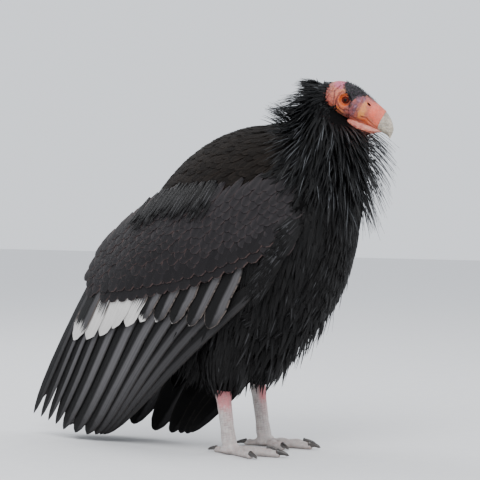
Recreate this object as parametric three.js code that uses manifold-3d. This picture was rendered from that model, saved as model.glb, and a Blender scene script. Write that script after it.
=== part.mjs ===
// California condor, life size, standing still on both feet with its wings folded.
// Frame: +X forward, +Y to the bird's left, +Z up, in millimetres, with the floor at z = 0.

import * as THREE from 'three';
import { mergeVertices } from 'three/addons/utils/BufferGeometryUtils.js';
import { LoftGeometry } from 'three/addons/geometries/LoftGeometry.js';
import Module from 'manifold-3d';

const wasm = await Module();
wasm.setup();

// Driving dimensions.
const GAP = 0.35;
const LEG_SPACING = 140;
const ANKLE = { x: 1, z: 125 };
const FOOT = { x: 19 };
const SHANK_RADIUS = 14.5;
const HEAD_AT = { x: 236, y: 5, z: 696 };
const HEAD_SCALE = 0.94;
const HEAD_YAW = 15;
const HEAD_PITCH = 27.5;
const EYE = { x: 3.5, y: 20.5, z: 0, radius: 9.5 };
const WRIST = { x: 215, z: 480 };
const WING_SLOPE = 34;
const WING_THICK = 24;
const TAIL_ROOT = { x: -150, z: 330 };
const TAIL_TIP = { x: -412, z: 20 };
const TAIL_HALF = 38;
const FLOOR_GAP = 3;
// Every place below is measured from the legs; the whole bird then stands this far forward, so
// that the origin is the middle of its footprint.
const FORWARD = 88;

// Trunk and neck from the rump to the nape. Each row is one section: the back point (x, z),
// the belly point (x, z) and the half width.
const TRUNK = [
  [-232, 215, -232, 215, 0],
  [-240, 262, -205, 200, 58],
  [-243, 330, -150, 190, 88],
  [-233, 418, -75, 180, 115],
  [-184, 503, 5, 180, 134],
  [-122, 573, 98, 196, 142],
  [-54, 619, 168, 250, 140],
  [15, 643, 214, 316, 130],
  [75, 650, 240, 395, 115],
  [112, 656, 250, 478, 98],
  [136, 664, 255, 545, 80],
  [148, 676, 262, 588, 66],
  [156, 692, 260, 630, 55],
  [165, 706, 248, 658, 45],
  [180, 714, 234, 672, 36],
  [205, 698, 205, 698, 0],
];
const NECK_START = 10;

// Head sections in the head's own frame: distance forward of the eyes, top, bottom, half width.
const SKULL = [
  [-60, -6, -6, 0],
  [-56, 5, -18, 12],
  [-49, 12, -27, 21],
  [-34, 26, -32, 29],
  [-15, 33, -34, 32],
  [3, 34, -33, 32],
  [15, 33, -33, 30],
  [26, 31, -32, 26],
  [40, 28, -31, 22],
  [57, 24, -29, 18.5],
  [73, 20, -27, 16],
  [88, 14.5, -25.5, 13.5],
];

// The ivory horn of the upper bill: top point (x, z), underside point (x, z), half width.
const HORN = [
  [88.4, 14.4, 88.4, -25.4, 13.4],
  [97, 10, 95, -25.6, 11.6],
  [105, 4, 101, -25.6, 9.4],
  [112, -4, 107, -26, 7],
  [116.5, -12, 112, -27, 4.6],
  [118, -30, 118, -30, 0],
];

// Lower jaw: top point (x, z), underside point (x, z), half width.
const JAW = [
  [20, -36, 20, -36, 0],
  [26, -30, 24, -43, 14],
  [46, -27, 46, -48, 18.5],
  [62, -25.5, 62, -46.5, 15.5],
  [78, -24.5, 77, -39.5, 12.5],
  [90, -24.5, 88, -31, 8.5],
  [96, -26, 96, -26, 0],
];

// Folded wing, in its own side plane: p runs back and down from the wrist along the closed
// feathers and q runs up from that line. Pairs are (p, q).
const WING_TOP = {
  right: [
    [-15, 62], [-8, 84], [19, 107], [102, 146], [215, 214], [310, 238], [402, 232],
    [466, 204], [570, 148],
  ],
  left: [
    [-15, 62], [-8, 84], [19, 107], [102, 146], [215, 214], [310, 246], [402, 262],
    [466, 256], [570, 210],
  ],
};
const WING_FRONT = [
  [-15, 56], [-8, 14], [30, -26], [65, -43], [107, -65], [147, -84], [170, -92],
  [254, -84], [570, -96],
];
// Distance of the wing's outer face from the mid plane, by p.
const WING_OUT = [
  [-15, 100], [50, 128], [150, 148], [250, 155], [350, 152], [450, 135], [550, 110],
  [650, 85], [822, 46],
];

// Closed flight feathers of one wing, from the uppermost secondary to the outermost primary:
// where the first and the last have their roots and their tips, as (x, z).
const FLIGHT_COUNT = 12;
const FLIGHT_ROOTS = {
  right: [[-240, 420], [120, 341]],
  left: [[-318, 418], [120, 341]],
};
const FLIGHT_TIPS = {
  right: [[-460, 12], [-300, 12]],
  left: [[-496, 12], [-158, 12]],
};
const FLIGHT_VANE = { width: 44, thick: 1.8, louver: 2 };

// Where the greater and the median wing coverts end, as (p, q), and their sizes.
const GREATER = {
  tips: [[297, -74], [342, -37], [385, -4], [417, 18], [460, 31], [489, 47], [553, 56], [613, 84]],
  count: 10,
  length: 150,
  rise: [-6, 1.8],
  vane: { width: 47, thick: 1.8, louver: 1.9 },
};
const MEDIAN = {
  tips: [[122, -22], [194, -9], [267, 9], [307, 22], [388, 57], [442, 79], [515, 118]],
  count: 9,
  length: 105,
  rise: [-3, 5.7],
  vane: { width: 62, thick: 2, louver: 1.3 },
};

// Shoulder feathers over the back: station and angle from the back line of root and tip.
const SCAPULARS = [
  { from: 7.0, to: 5.3, angles: [12, 34] },
  { from: 6.0, to: 4.1, angles: [4, 24, 44] },
  { from: 4.8, to: 2.7, angles: [12, 30] },
];
const SCAPULAR = { half: 31, thick: 2.4, louver: 1.4 };

// Neck ruff: rows of plumes round the neck, each with its station and number.
const RUFF_ROWS = [
  [10.3, 13], [11.2, 11], [12.1, 10], [13.0, 8], [13.6, 5],
];
const PLUME = { length: 74, half: 6, thick: 1.5, sunk: 7 };

// Tufts that hang from the thigh.
const TUFT = { count: 11, length: 62, half: 11, thick: 3.2 };

const TAIL_VANES = 7;
const TAIL_VANE = { half: 15, thick: 1.1 };

// Materials.
const material = (color, roughness, metalness = 0) =>
  new THREE.MeshStandardMaterial({ color, roughness, metalness });
const PLUMAGE = material(0x17161a, 0.7);
const RUFF = material(0x0b0b0e, 0.5);
const FLIGHT = material(0x232126, 0.65);
const SKIN = material(0xc9775f, 0.55);
const HORN_IVORY = material(0xcfc4ae, 0.4);
const JAW_HORN = material(0xc58a6c, 0.45);
const EYE_GLASS = material(0x4a0d0a, 0.1);
const LEG_SKIN = material(0xb9b2ab, 0.6);
const CLAW_HORN = material(0x2b2725, 0.35);

const { degToRad, lerp, smoothstep } = THREE.MathUtils;
const vec = (x, y, z) => new THREE.Vector3(x, y, z);
const sides = [-1, 1];
const sideName = (side) => (side < 0 ? 'right' : 'left');

// Seeded random numbers between -1 and 1.
let seed = 20;
function vary() {
  seed = (seed * 1103515245 + 12345) % 2147483648;
  return (2 * seed) / 2147483648 - 1;
}

// Value of an outline at a place along it, on straight lines between its points.
function along(outline, place) {
  const last = outline.length - 1;
  if (place <= outline[0][0]) return outline[0][1];
  if (place >= outline[last][0]) return outline[last][1];
  const next = outline.findIndex((point) => point[0] >= place);
  const [start, from] = outline[next - 1];
  const [end, to] = outline[next];
  return lerp(from, to, (place - start) / (end - start));
}

// Closed geometry to solid, with doubled points merged and flat triangles left out.
function solid(geometry) {
  const bare = new THREE.BufferGeometry().copy(geometry);
  bare.deleteAttribute('normal');
  bare.deleteAttribute('uv');
  const merged = mergeVertices(bare, 1e-3);
  const corners = merged.index.array;
  const triangles = [];
  for (let i = 0; i < corners.length; i += 3) {
    const [a, b, c] = corners.slice(i, i + 3);
    if (a !== b && b !== c && c !== a) triangles.push([a, b, c]);
  }
  const build = (list) =>
    new wasm.Manifold(
      new wasm.Mesh({
        numProp: 3,
        vertProperties: new Float32Array(merged.attributes.position.array),
        triVerts: new Uint32Array(list.flat()),
      }),
    );
  const body = build(triangles);
  return body.volume() > 0 ? body : build(triangles.map(([a, b, c]) => [a, c, b]));
}

// The largest closed surface of a solid: a sealed hollow is filled and a loose scrap dropped.
function largest(body) {
  const pieces = body.decompose();
  return pieces.reduce((best, piece) => (piece.volume() > best.volume() ? piece : best));
}

const fuse = (pieces) => largest(wasm.Manifold.union(pieces));
const cut = (body, tools) => largest(body.subtract(wasm.Manifold.union(tools)));

function meshOf(name, body, look) {
  const { vertProperties, triVerts, numProp } = body.getMesh();
  const points = [];
  for (let i = 0; i < vertProperties.length; i += numProp) {
    points.push(vertProperties[i], vertProperties[i + 1], vertProperties[i + 2]);
  }
  const geometry = new THREE.BufferGeometry();
  geometry.setAttribute('position', new THREE.Float32BufferAttribute(points, 3));
  geometry.setIndex(Array.from(triVerts));
  geometry.computeVertexNormals();
  const mesh = new THREE.Mesh(geometry, look);
  mesh.name = name;
  return mesh;
}

// Skin through rings of points, each turned to run counterclockwise seen from the last ring.
function skin(rings, open) {
  const middle = Math.floor(rings.length / 2);
  const [ring, next] = [rings[middle - 1], rings[middle]];
  const centre = (points) =>
    points.reduce((sum, point) => sum.add(point), vec(0, 0, 0)).divideScalar(points.length);
  const here = centre(ring);
  const normal = ring.reduce((sum, point, i) => {
    const after = ring[(i + 1) % ring.length];
    return sum.add(point.clone().sub(here).cross(after.clone().sub(here)));
  }, vec(0, 0, 0));
  const forward = normal.dot(centre(next).sub(here)) > 0;
  return new LoftGeometry(forward ? rings : rings.map((points) => points.slice().reverse()), {
    closed: true,
    ...open,
  });
}

// Loft through rounded sections. A section has a top and a bottom point, a half width along Y
// and the distance of its middle from the mid plane; a half width of 0 is a pole.
function loft(sections, around, grow = 0) {
  const rings = sections.map(({ top, bottom, half, side = 0 }) => {
    const middle = top.clone().add(bottom).multiplyScalar(0.5);
    const rise = top.clone().sub(bottom).multiplyScalar(0.5);
    const reach = rise.length();
    if (half === 0) return Array.from({ length: around }, () => middle.clone().setY(side));
    const ring = [];
    for (let i = 0; i < around; i += 1) {
      const turn = (2 * Math.PI * i) / around;
      const point = middle.clone().addScaledVector(rise, Math.cos(turn) * (1 + grow / reach));
      point.y = side + Math.sin(turn) * (half + grow);
      ring.push(point);
    }
    return ring;
  });
  const open = (section) => section.half > 0;
  return skin(rings, {
    capStart: open(sections[0]),
    capEnd: open(sections[sections.length - 1]),
  });
}

// A closed strip for one vane or lock. Each station has a left, a middle and a right point, a
// half thickness vector and the share of the thickness that its edges keep. Both faces are
// split into triangles the same way.
function strip(stations) {
  const points = [];
  for (const { left, middle, right, up, edge = 0.5 } of stations) {
    points.push(
      left.clone().addScaledVector(up, edge),
      middle.clone().add(up),
      right.clone().addScaledVector(up, edge),
      right.clone().addScaledVector(up, -edge),
      middle.clone().sub(up),
      left.clone().addScaledVector(up, -edge),
    );
  }
  const index = [];
  const face = (a, b, c) => index.push(a, b, c);
  for (let i = 0; i + 1 < stations.length; i += 1) {
    const [lt, ct, rt, rb, cb, lb] = [0, 1, 2, 3, 4, 5].map((corner) => 6 * i + corner);
    const next = 6;
    face(lt, ct, ct + next);
    face(lt, ct + next, lt + next);
    face(ct, rt, rt + next);
    face(ct, rt + next, ct + next);
    face(rt, rb, rb + next);
    face(rt, rb + next, rt + next);
    face(rb, cb, rb + next);
    face(cb, cb + next, rb + next);
    face(cb, lb, cb + next);
    face(lb, lb + next, cb + next);
    face(lb, lt, lt + next);
    face(lb, lt + next, lb + next);
  }
  const cap = (start, flip) => {
    for (const [a, b, c] of [[0, 4, 1], [0, 5, 4], [1, 3, 2], [1, 4, 3]]) {
      if (flip) face(start + a, start + c, start + b);
      else face(start + a, start + b, start + c);
    }
  };
  cap(0, false);
  cap(6 * (stations.length - 1), true);
  const geometry = new THREE.BufferGeometry().setFromPoints(points);
  geometry.setIndex(index);
  return geometry;
}

// An ellipsoid at a place, with its half sizes and a turn about Y in degrees.
function ellipsoid(at, size, pitch = 0, detail = [16, 10]) {
  const geometry = new THREE.SphereGeometry(1, ...detail);
  geometry.scale(...size);
  geometry.rotateY(degToRad(pitch));
  geometry.translate(at.x, at.y, at.z);
  return geometry;
}

// Trunk and neck.
const backLine = new THREE.CatmullRomCurve3(TRUNK.map(([x, z, , , half]) => vec(x, half, z)), false, 'catmullrom');
const bellyLine = new THREE.CatmullRomCurve3(TRUNK.map(([, , x, z, half]) => vec(x, half, z)), false, 'catmullrom');

function trunkSection(station) {
  const t = station / (TRUNK.length - 1);
  const top = backLine.getPoint(t);
  const bottom = bellyLine.getPoint(t);
  const half = Math.max(0, top.y);
  return { top: top.setY(0), bottom: bottom.setY(0), half };
}

function trunkStations(from, to, step) {
  const count = Math.round((to - from) / step);
  return Array.from({ length: count + 1 }, (_, i) => from + ((to - from) * i) / count);
}

function trunkLoft(from, to, step, around, grow = 0) {
  return loft(trunkStations(from, to, step).map(trunkSection), around, grow);
}

// Point over the trunk at a station and an angle from the back line, with the way out of it.
function trunkPoint(station, angle, rise = 0) {
  const { top, bottom, half } = trunkSection(station);
  const middle = top.clone().add(bottom).multiplyScalar(0.5);
  const reach = top.clone().sub(middle);
  const turn = degToRad(angle);
  const out = reach.clone().multiplyScalar((Math.cos(turn) * half) / reach.length());
  out.y = Math.sin(turn) * reach.length();
  out.normalize();
  const point = middle.addScaledVector(reach, Math.cos(turn));
  point.y = Math.sin(turn) * half;
  return { point: point.addScaledVector(out, rise), out };
}

// One shoulder feather; grown by a gap, it is what the wing is cut with.
function scapular({ from, to }, angle, grow = 0) {
  const stations = [0, 0.7, 1].map((t, i) => {
    const station = lerp(from, to, t);
    const width = (SCAPULAR.half + grow) * [0.8, 1, 0.42][i];
    const spread = (width / trunkSection(station).half) * (180 / Math.PI);
    const rise = lerp(-2.5, 4, Math.min(1, 1.6 * t));
    const lean = SCAPULAR.louver * Math.sign(angle);
    const { point, out } = trunkPoint(station - (i === 2 ? grow / 80 : 0), angle, rise);
    return {
      left: trunkPoint(station, angle - spread, rise - lean).point,
      middle: point,
      right: trunkPoint(station, angle + spread, rise + lean).point,
      up: out.multiplyScalar(SCAPULAR.thick / 2 + grow),
      edge: (SCAPULAR.thick / 4 + grow) / (SCAPULAR.thick / 2 + grow),
    };
  });
  return solid(strip(stations));
}

const shoulderFeathers = (grow) =>
  SCAPULARS.flatMap((tier) =>
    tier.angles.flatMap((angle) => sides.map((side) => scapular(tier, side * angle, grow))),
  );

const TRUNK_AROUND = 24;
const trunkCore = solid(trunkLoft(0, NECK_START, 1, TRUNK_AROUND));
const torsoSolid = fuse([trunkCore, ...shoulderFeathers(0)]);
const torsoGrown = wasm.Manifold.union([
  solid(trunkLoft(0, NECK_START + 0.01, 1, TRUNK_AROUND, GAP)),
  ...shoulderFeathers(GAP),
]);

// Head, in its own frame with the origin between the eyes.
const row = ([topX, topZ, bottomX, bottomZ, half]) => ({
  top: vec(topX, 0, topZ),
  bottom: vec(bottomX, 0, bottomZ),
  half,
});
const skullSections = SKULL.map(([x, top, bottom, half]) => row([x, top, x, bottom, half]));

function eyeBall(side, grow = 0) {
  const size = EYE.radius + grow;
  return ellipsoid(vec(EYE.x, side * EYE.y, EYE.z), [size, size, size], 0, [14, 8]);
}

function headSolid() {
  const lids = sides.map((side) => {
    const ring = new THREE.TorusGeometry(8.6, 1.8, 5, 14);
    ring.rotateX(Math.PI / 2);
    ring.translate(EYE.x, side * (EYE.y + 6), EYE.z);
    return solid(ring);
  });
  const sockets = sides.map((side) => solid(ellipsoid(vec(EYE.x, side * 34, 0), [12, 7, 11], 0, [14, 8])));
  const ears = sides.map((side) => solid(ellipsoid(vec(-25, side * 31, -11), [5.5, 6, 7], 0, [10, 7])));
  const nostril = solid(ellipsoid(vec(49, 0, 13.5), [6.5, 30, 2.4], 18, [12, 8]));
  const jawGrown = solid(loft(JAW.map(row), 14, GAP));
  const skull = cut(solid(loft(skullSections, 20)), [...sockets, ...ears, nostril, jawGrown]);
  const eyes = sides.map((side) => solid(eyeBall(side, GAP)));
  return cut(fuse([skull, ...lids]), eyes);
}

const headPlace = new THREE.Group();
headPlace.position.set(HEAD_AT.x, HEAD_AT.y, HEAD_AT.z);
headPlace.scale.setScalar(HEAD_SCALE);
headPlace.rotation.set(0, degToRad(HEAD_PITCH), degToRad(HEAD_YAW), 'ZYX');
headPlace.updateMatrixWorld();
headPlace.add(
  meshOf('head', headSolid(), SKIN),
  meshOf('bill_tip', solid(loft(HORN.map(row), 14)), HORN_IVORY),
  meshOf('jaw', cut(solid(loft(JAW.map(row), 14)), [solid(loft(HORN.map(row), 14, GAP))]), JAW_HORN),
  meshOf('eye_right', solid(eyeBall(-1)), EYE_GLASS),
  meshOf('eye_left', solid(eyeBall(1)), EYE_GLASS),
);

// Wings.
const wingAlong = vec(-Math.cos(degToRad(WING_SLOPE)), 0, -Math.sin(degToRad(WING_SLOPE)));
const wingUp = vec(-Math.sin(degToRad(WING_SLOPE)), 0, Math.cos(degToRad(WING_SLOPE)));

function wingPoint(side, p, q, rise) {
  const point = vec(WRIST.x, 0, WRIST.z).addScaledVector(wingAlong, p).addScaledVector(wingUp, q);
  let out = along(WING_OUT, p);
  if (q > 60) out -= 70 * ((q - 60) / 170) ** 2;
  if (q < -40) out -= 20 * ((-40 - q) / 70) ** 1.5;
  point.y = side * (out + rise);
  point.z = Math.max(point.z, FLOOR_GAP);
  return point;
}

// How far the arm and hand stand out: most under the lesser coverts, less under the rest.
function padRise(p, q) {
  const line = along(MEDIAN.tips, p);
  return lerp(-6, 3.6, smoothstep(q, line - 15, line + 45));
}

// The arm and hand under the feathers: one rounded plate inside the wing's outline.
const PAD_COLUMNS = [-15, -8, 19, 60, 107, 170, 240, 310, 380, 450, 520, 570];
function wingPad(side, grow = 0) {
  const steps = 6;
  const rings = PAD_COLUMNS.map((p) => {
    const inset = lerp(0, 16, smoothstep(p, 150, 300)) + lerp(0, 34, smoothstep(p, 440, 570));
    const low = along(WING_FRONT, p) + inset - grow;
    const high = along(WING_TOP[sideName(side)], p) - 0.5 * inset + grow;
    const thick = WING_THICK * lerp(1, 0.5, smoothstep(p, 250, 570));
    const outer = [];
    const inner = [];
    for (let i = 0; i <= steps; i += 1) {
      const q = lerp(low, high, i / steps);
      const rim = 0.16 * thick * Math.abs((2 * i) / steps - 1) ** 6;
      outer.push(wingPoint(side, p, q, padRise(p, q) - rim + grow));
      inner.unshift(wingPoint(side, p, q, -thick - grow));
    }
    return [...outer, ...inner];
  });
  return skin(rings, { capStart: true, capEnd: true });
}

// Wing plane coordinates of a point of the side view.
function toWing([x, z]) {
  const from = vec(x - WRIST.x, 0, z - WRIST.z);
  return { p: from.dot(wingAlong), q: from.dot(wingUp) };
}

// One wing feather from root to tip in the wing plane. Its lower edge stands out over the next.
function wingVane(side, root, tip, rise, { width, thick, louver }, shape, grow = 0) {
  const length = Math.hypot(tip.p - root.p, tip.q - root.q);
  const across = { p: -(tip.q - root.q) / length, q: (tip.p - root.p) / length };
  const stations = shape.map(([t, share]) => {
    const p = lerp(root.p, tip.p, t);
    const q = lerp(root.q, tip.q, t) - 0.03 * length * Math.sin(Math.PI * t);
    const half = (width * share) / 2 + grow;
    const lift = lerp(rise[0], rise[1], smoothstep(t, 0, 0.4));
    const at = (v) =>
      wingPoint(side, p + v * half * across.p, q + v * half * across.q, lift - v * louver);
    const halfThick = (thick / 2) * lerp(1, 0.6, t) + grow;
    const edge = (halfThick + grow) / (2 * halfThick);
    return { left: at(-1), middle: at(0), right: at(1), up: vec(0, side * halfThick, 0), edge };
  });
  return solid(strip(stations));
}

const LONG_VANE = [[0, 0.8], [0.35, 1], [0.85, 0.62], [1, 0.2]];
const COVERT_VANE = [[0, 0.45], [0.7, 1], [1, 0.42]];

const pair = ([from, to], share) => [lerp(from[0], to[0], share), lerp(from[1], to[1], share)];

function flightFeathers(side, grow = 0) {
  const roots = FLIGHT_ROOTS[sideName(side)];
  const tips = FLIGHT_TIPS[sideName(side)];
  return Array.from({ length: FLIGHT_COUNT }, (_, i) => {
    const share = i / (FLIGHT_COUNT - 1);
    const root = toWing(pair(roots, share));
    const tip = toWing(pair(tips, share));
    return wingVane(side, root, tip, [-12, -3], FLIGHT_VANE, LONG_VANE, grow);
  });
}

// A tier of coverts, each along the flight feather that it lies on.
function covertTier(side, { tips, count, length, rise, vane }) {
  const [first, last] = [tips[0][0], tips[tips.length - 1][0]];
  return Array.from({ length: count }, (_, i) => {
    const share = i / (count - 1);
    const p = lerp(first, last, share);
    const tip = { p, q: along(tips, p) };
    const slope = degToRad(lerp(4, 27, share));
    const reach = length * lerp(0.6, 1, smoothstep(share, 0, 0.5));
    const root = { p: p - reach * Math.cos(slope), q: tip.q + reach * Math.sin(slope) };
    return wingVane(side, root, tip, rise, vane, COVERT_VANE);
  });
}

function wingSolid(side) {
  const feathers = [
    ...flightFeathers(side),
    ...covertTier(side, GREATER),
    ...covertTier(side, MEDIAN),
  ];
  return cut(fuse([solid(wingPad(side)), ...feathers]), [torsoGrown]);
}

// The neck ends against the head and the lower jaw.
const headGrown = solid(loft(skullSections, 20, GAP).applyMatrix4(headPlace.matrixWorld));
const jawGrown = solid(loft(JAW.map(row), 14, GAP).applyMatrix4(headPlace.matrixWorld));
const neckCore = solid(trunkLoft(NECK_START + 0.015, 15, 0.5, TRUNK_AROUND));

// One plume of the ruff: a flat tapered lock that bends down along the neck.
function plume(station, angle, spread) {
  const { point, out } = trunkPoint(station, angle);
  const lie = trunkPoint(station - 0.2, angle).point.sub(point).normalize();
  const side = out.clone().cross(lie).normalize();
  const nape = smoothstep(Math.cos(degToRad(angle)), 0.1, 0.8);
  const front = smoothstep(-Math.cos(degToRad(angle)), 0.3, 0.9);
  const stand = 0.5 + 0.5 * nape + 0.3 * front + 0.12 * vary();
  const away = out.clone().multiplyScalar(stand).addScaledVector(lie, 0.8 - 0.45 * nape).normalize();
  away.addScaledVector(side, 0.15 * vary());
  const length = PLUME.length * (1 - 0.44 * nape + 0.22 * front + 0.14 * vary()) * spread;
  const root = point.clone().addScaledVector(out, -PLUME.sunk);
  const stations = [0, 0.6, 1].map((t, i) => {
    const middle = root.clone().addScaledVector(away, length * t);
    middle.addScaledVector(lie, 0.16 * length * t * t);
    middle.z -= 0.06 * length * t * t;
    const half = PLUME.half * [0.8, 1, 0.14][i];
    return {
      left: middle.clone().addScaledVector(side, -half),
      middle,
      right: middle.clone().addScaledVector(side, half),
      up: out.clone().multiplyScalar(PLUME.thick * [1, 1, 0.3][i]),
      edge: 0,
    };
  });
  return solid(strip(stations));
}

const ruffPlumes = RUFF_ROWS.flatMap(([station, count], rank) =>
  Array.from({ length: count }, (_, i) =>
    plume(station + 0.15 * vary(), (360 * (i + 0.5 * (rank % 2)) + 90 * vary()) / count, 1 - 0.05 * rank),
  ),
);
const padsGrown = sides.map((side) => solid(wingPad(side, GAP)));
const neckSolid = cut(fuse([neckCore, ...ruffPlumes]), [headGrown, jawGrown, torsoGrown, ...padsGrown]);

// Tail: the rump's wedge with a closed fan of feathers that ends under the wing tips.
function tailSolid() {
  const direction = vec(TAIL_TIP.x - TAIL_ROOT.x, 0, TAIL_TIP.z - TAIL_ROOT.z);
  const up = vec(-direction.z, 0, direction.x).normalize();
  const along = (t, rise) =>
    vec(TAIL_ROOT.x, 0, TAIL_ROOT.z).addScaledVector(direction, t).addScaledVector(up, rise);
  const wedge = [0, 0.3, 0.55].map((t, i) => {
    const rise = [18, 12, 3.5][i];
    return { top: along(t, rise), bottom: along(t, -rise), half: [32, 34, 26][i] };
  });
  const vanes = Array.from({ length: TAIL_VANES }, (_, i) => {
    const place = (2 * i) / (TAIL_VANES - 1) - 1;
    const rise = 3 - 2.6 * Math.abs(place) * 2;
    const stations = [[0.2, 0.8], [0.6, 1], [0.93, 0.9], [1, 0.4]].map(([t, share]) => {
      const middle = along(t * (1 - 0.03 * Math.abs(place)), rise);
      middle.y = place * (TAIL_HALF - TAIL_VANE.half);
      const edgeAt = (v) => {
        const point = middle.clone().addScaledVector(up, -v * Math.sign(place) * 0.8);
        return point.setY(middle.y + v * TAIL_VANE.half * share);
      };
      return {
        left: edgeAt(-1),
        middle,
        right: edgeAt(1),
        up: up.clone().multiplyScalar(TAIL_VANE.thick * lerp(1, 0.6, t)),
      };
    });
    return solid(strip(stations));
  });
  return cut(fuse([solid(loft(wedge, 14)), ...vanes]), [torsoGrown]);
}

// Legs.
function shankLoft(side, grow = 0) {
  const rows = [
    [138, 15, 13], [120, 16.5, 15], [100, SHANK_RADIUS, 13.5], [50, SHANK_RADIUS - 1, 12.5],
    [26, 15.5, 15],
  ];
  const sections = rows.map(([z, long, wide]) => {
    const x = lerp(FOOT.x, ANKLE.x, z / ANKLE.z);
    return {
      top: vec(x + long, 0, z),
      bottom: vec(x - long, 0, z),
      half: wide,
      side: (side * LEG_SPACING) / 2,
    };
  });
  return loft(sections, 14, grow);
}

function thighSolid(side) {
  const rows = [
    [270, 75, -40, 40], [225, 78, -48, 46], [190, 73, -46, 44], [160, 66, -40, 38],
    [140, 54, -32, 31], [126, 30, -24, 22], [121, 14, -16, 15],
  ];
  const sections = rows.map(([z, front, rear, half]) => ({
    top: vec(front, 0, z),
    bottom: vec(rear, 0, z),
    half,
    side: (side * LEG_SPACING) / 2,
  }));
  const tufts = Array.from({ length: TUFT.count }, (_, i) => thighTuft(side, i));
  const wing = [solid(wingPad(side, GAP)), ...flightFeathers(side, GAP)];
  const tools = [torsoGrown, solid(shankLoft(side, GAP)), ...wing];
  return cut(fuse([solid(loft(sections, 18)), ...tufts]), tools);
}

// One tuft of the thigh, hanging round the top of the shank.
function thighTuft(side, i) {
  const turn = (2 * Math.PI * (i + 0.3 * vary())) / TUFT.count;
  const centre = vec(14, (side * LEG_SPACING) / 2, 0);
  const out = vec(Math.cos(turn), Math.sin(turn), 0);
  const across = vec(-Math.sin(turn), Math.cos(turn), 0);
  const top = 186 + 8 * vary();
  const length = TUFT.length * (1 + 0.12 * vary());
  const reach = [[42, 34], [46, 36], [38, 29], [24, 21]];
  const stations = [0, 0.4, 0.78, 1].map((t, k) => {
    const [long, wide] = reach[k];
    const middle = centre.clone().add(vec(long * Math.cos(turn), wide * Math.sin(turn), top - length * t));
    middle.x -= 9 * t;
    const half = TUFT.half * [0.9, 1, 0.7, 0.15][k];
    return {
      left: middle.clone().addScaledVector(across, -half),
      middle,
      right: middle.clone().addScaledVector(across, half),
      up: out.clone().multiplyScalar(TUFT.thick * [1.2, 1, 0.7, 0.3][k]),
      edge: 0,
    };
  });
  return solid(strip(stations));
}

// Toes: name, direction in degrees to the outside of straight ahead, length, thickness.
const TOES = [
  ['inner', -32, 74, 16],
  ['middle', -2, 106, 18],
  ['outer', 30, 80, 16],
  ['hind', 195, 42, 14],
];
const CLAW_LENGTH = 24;

// Toe along +X from the foot's centre, with swellings at its joints and a flat sole.
function toeLoft(length, thick) {
  const joints = [0, 0.22, 0.42, 0.6, 0.8, 1];
  const swell = [1.05, 0.88, 1.02, 0.86, 0.98, 0.7];
  const sections = joints.map((t, i) => {
    const height = thick * swell[i] * lerp(1.1, 0.85, t);
    return {
      top: vec(length * t, 0, height),
      bottom: vec(length * t, 0, -0.12 * thick),
      half: (thick * swell[i]) / 2,
    };
  });
  return loft(sections, 8);
}

function clawLoft(length, thick, grow = 0) {
  const sections = [0, 0.35, 0.7, 1].map((t) => {
    const x = length + CLAW_LENGTH * t;
    const middle = 0.42 * thick * (1 + 0.55 * Math.sin(Math.PI * (0.25 + 0.6 * t))) - 4.5 * t;
    const half = t === 1 ? 0 : lerp(0.31, 0.1, t) * thick;
    const rise = t === 1 ? 0 : half * 1.15;
    return { top: vec(x, 0, middle + rise), bottom: vec(x, 0, middle - rise), half };
  });
  return loft(sections, 10, grow);
}

function setToe(geometry, side, angle) {
  geometry.rotateZ(side * degToRad(angle));
  geometry.translate(FOOT.x, (side * LEG_SPACING) / 2, 0);
  return geometry;
}

function floorBlock() {
  const block = new THREE.BoxGeometry(600, 600, 60);
  block.translate(0, 0, -30);
  return solid(block);
}

function footSolid(side) {
  const pad = ellipsoid(vec(FOOT.x, (side * LEG_SPACING) / 2, 9), [21, 18, 15.5], 0, [12, 7]);
  const toes = TOES.map(([, angle, length, thick]) => solid(setToe(toeLoft(length, thick), side, angle)));
  return cut(fuse([solid(pad), ...toes]), [floorBlock(), solid(shankLoft(side, GAP))]);
}

const model = new THREE.Group();
model.name = 'condor';
model.position.x = FORWARD;
model.add(
  meshOf('torso', torsoSolid, PLUMAGE),
  meshOf('neck', neckSolid, RUFF),
  headPlace,
  meshOf('wing_right', wingSolid(-1), FLIGHT),
  meshOf('wing_left', wingSolid(1), FLIGHT),
  meshOf('tail', tailSolid(), FLIGHT),
);
for (const side of sides) {
  const name = sideName(side);
  model.add(
    meshOf(`thigh_${name}`, thighSolid(side), PLUMAGE),
    meshOf(`shank_${name}`, solid(shankLoft(side)), LEG_SKIN),
    meshOf(`foot_${name}`, footSolid(side), LEG_SKIN),
  );
  for (const [toe, angle, length, thick] of TOES) {
    const claw = setToe(clawLoft(length + GAP, thick), side, angle);
    model.add(meshOf(`claw_${toe}_${name}`, cut(solid(claw), [floorBlock()]), CLAW_HORN));
  }
}

export default model;
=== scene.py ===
# %% [markdown]
# # A California condor at rest
# A life-size, still model of the bird: bare orange head, hooked bill, a shaggy black ruff, folded
# wings with a white bar, and pale legs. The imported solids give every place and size. This script
# lays the skin and some thousands of feathers over them. Lengths are metres, +X is forward, +Y is
# the bird's left and +Z is up.

# %% Load the frame
from math import cos, pi, radians, sin

import bmesh
import bpy
import numpy as np
from mathutils import Matrix, Vector


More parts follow.
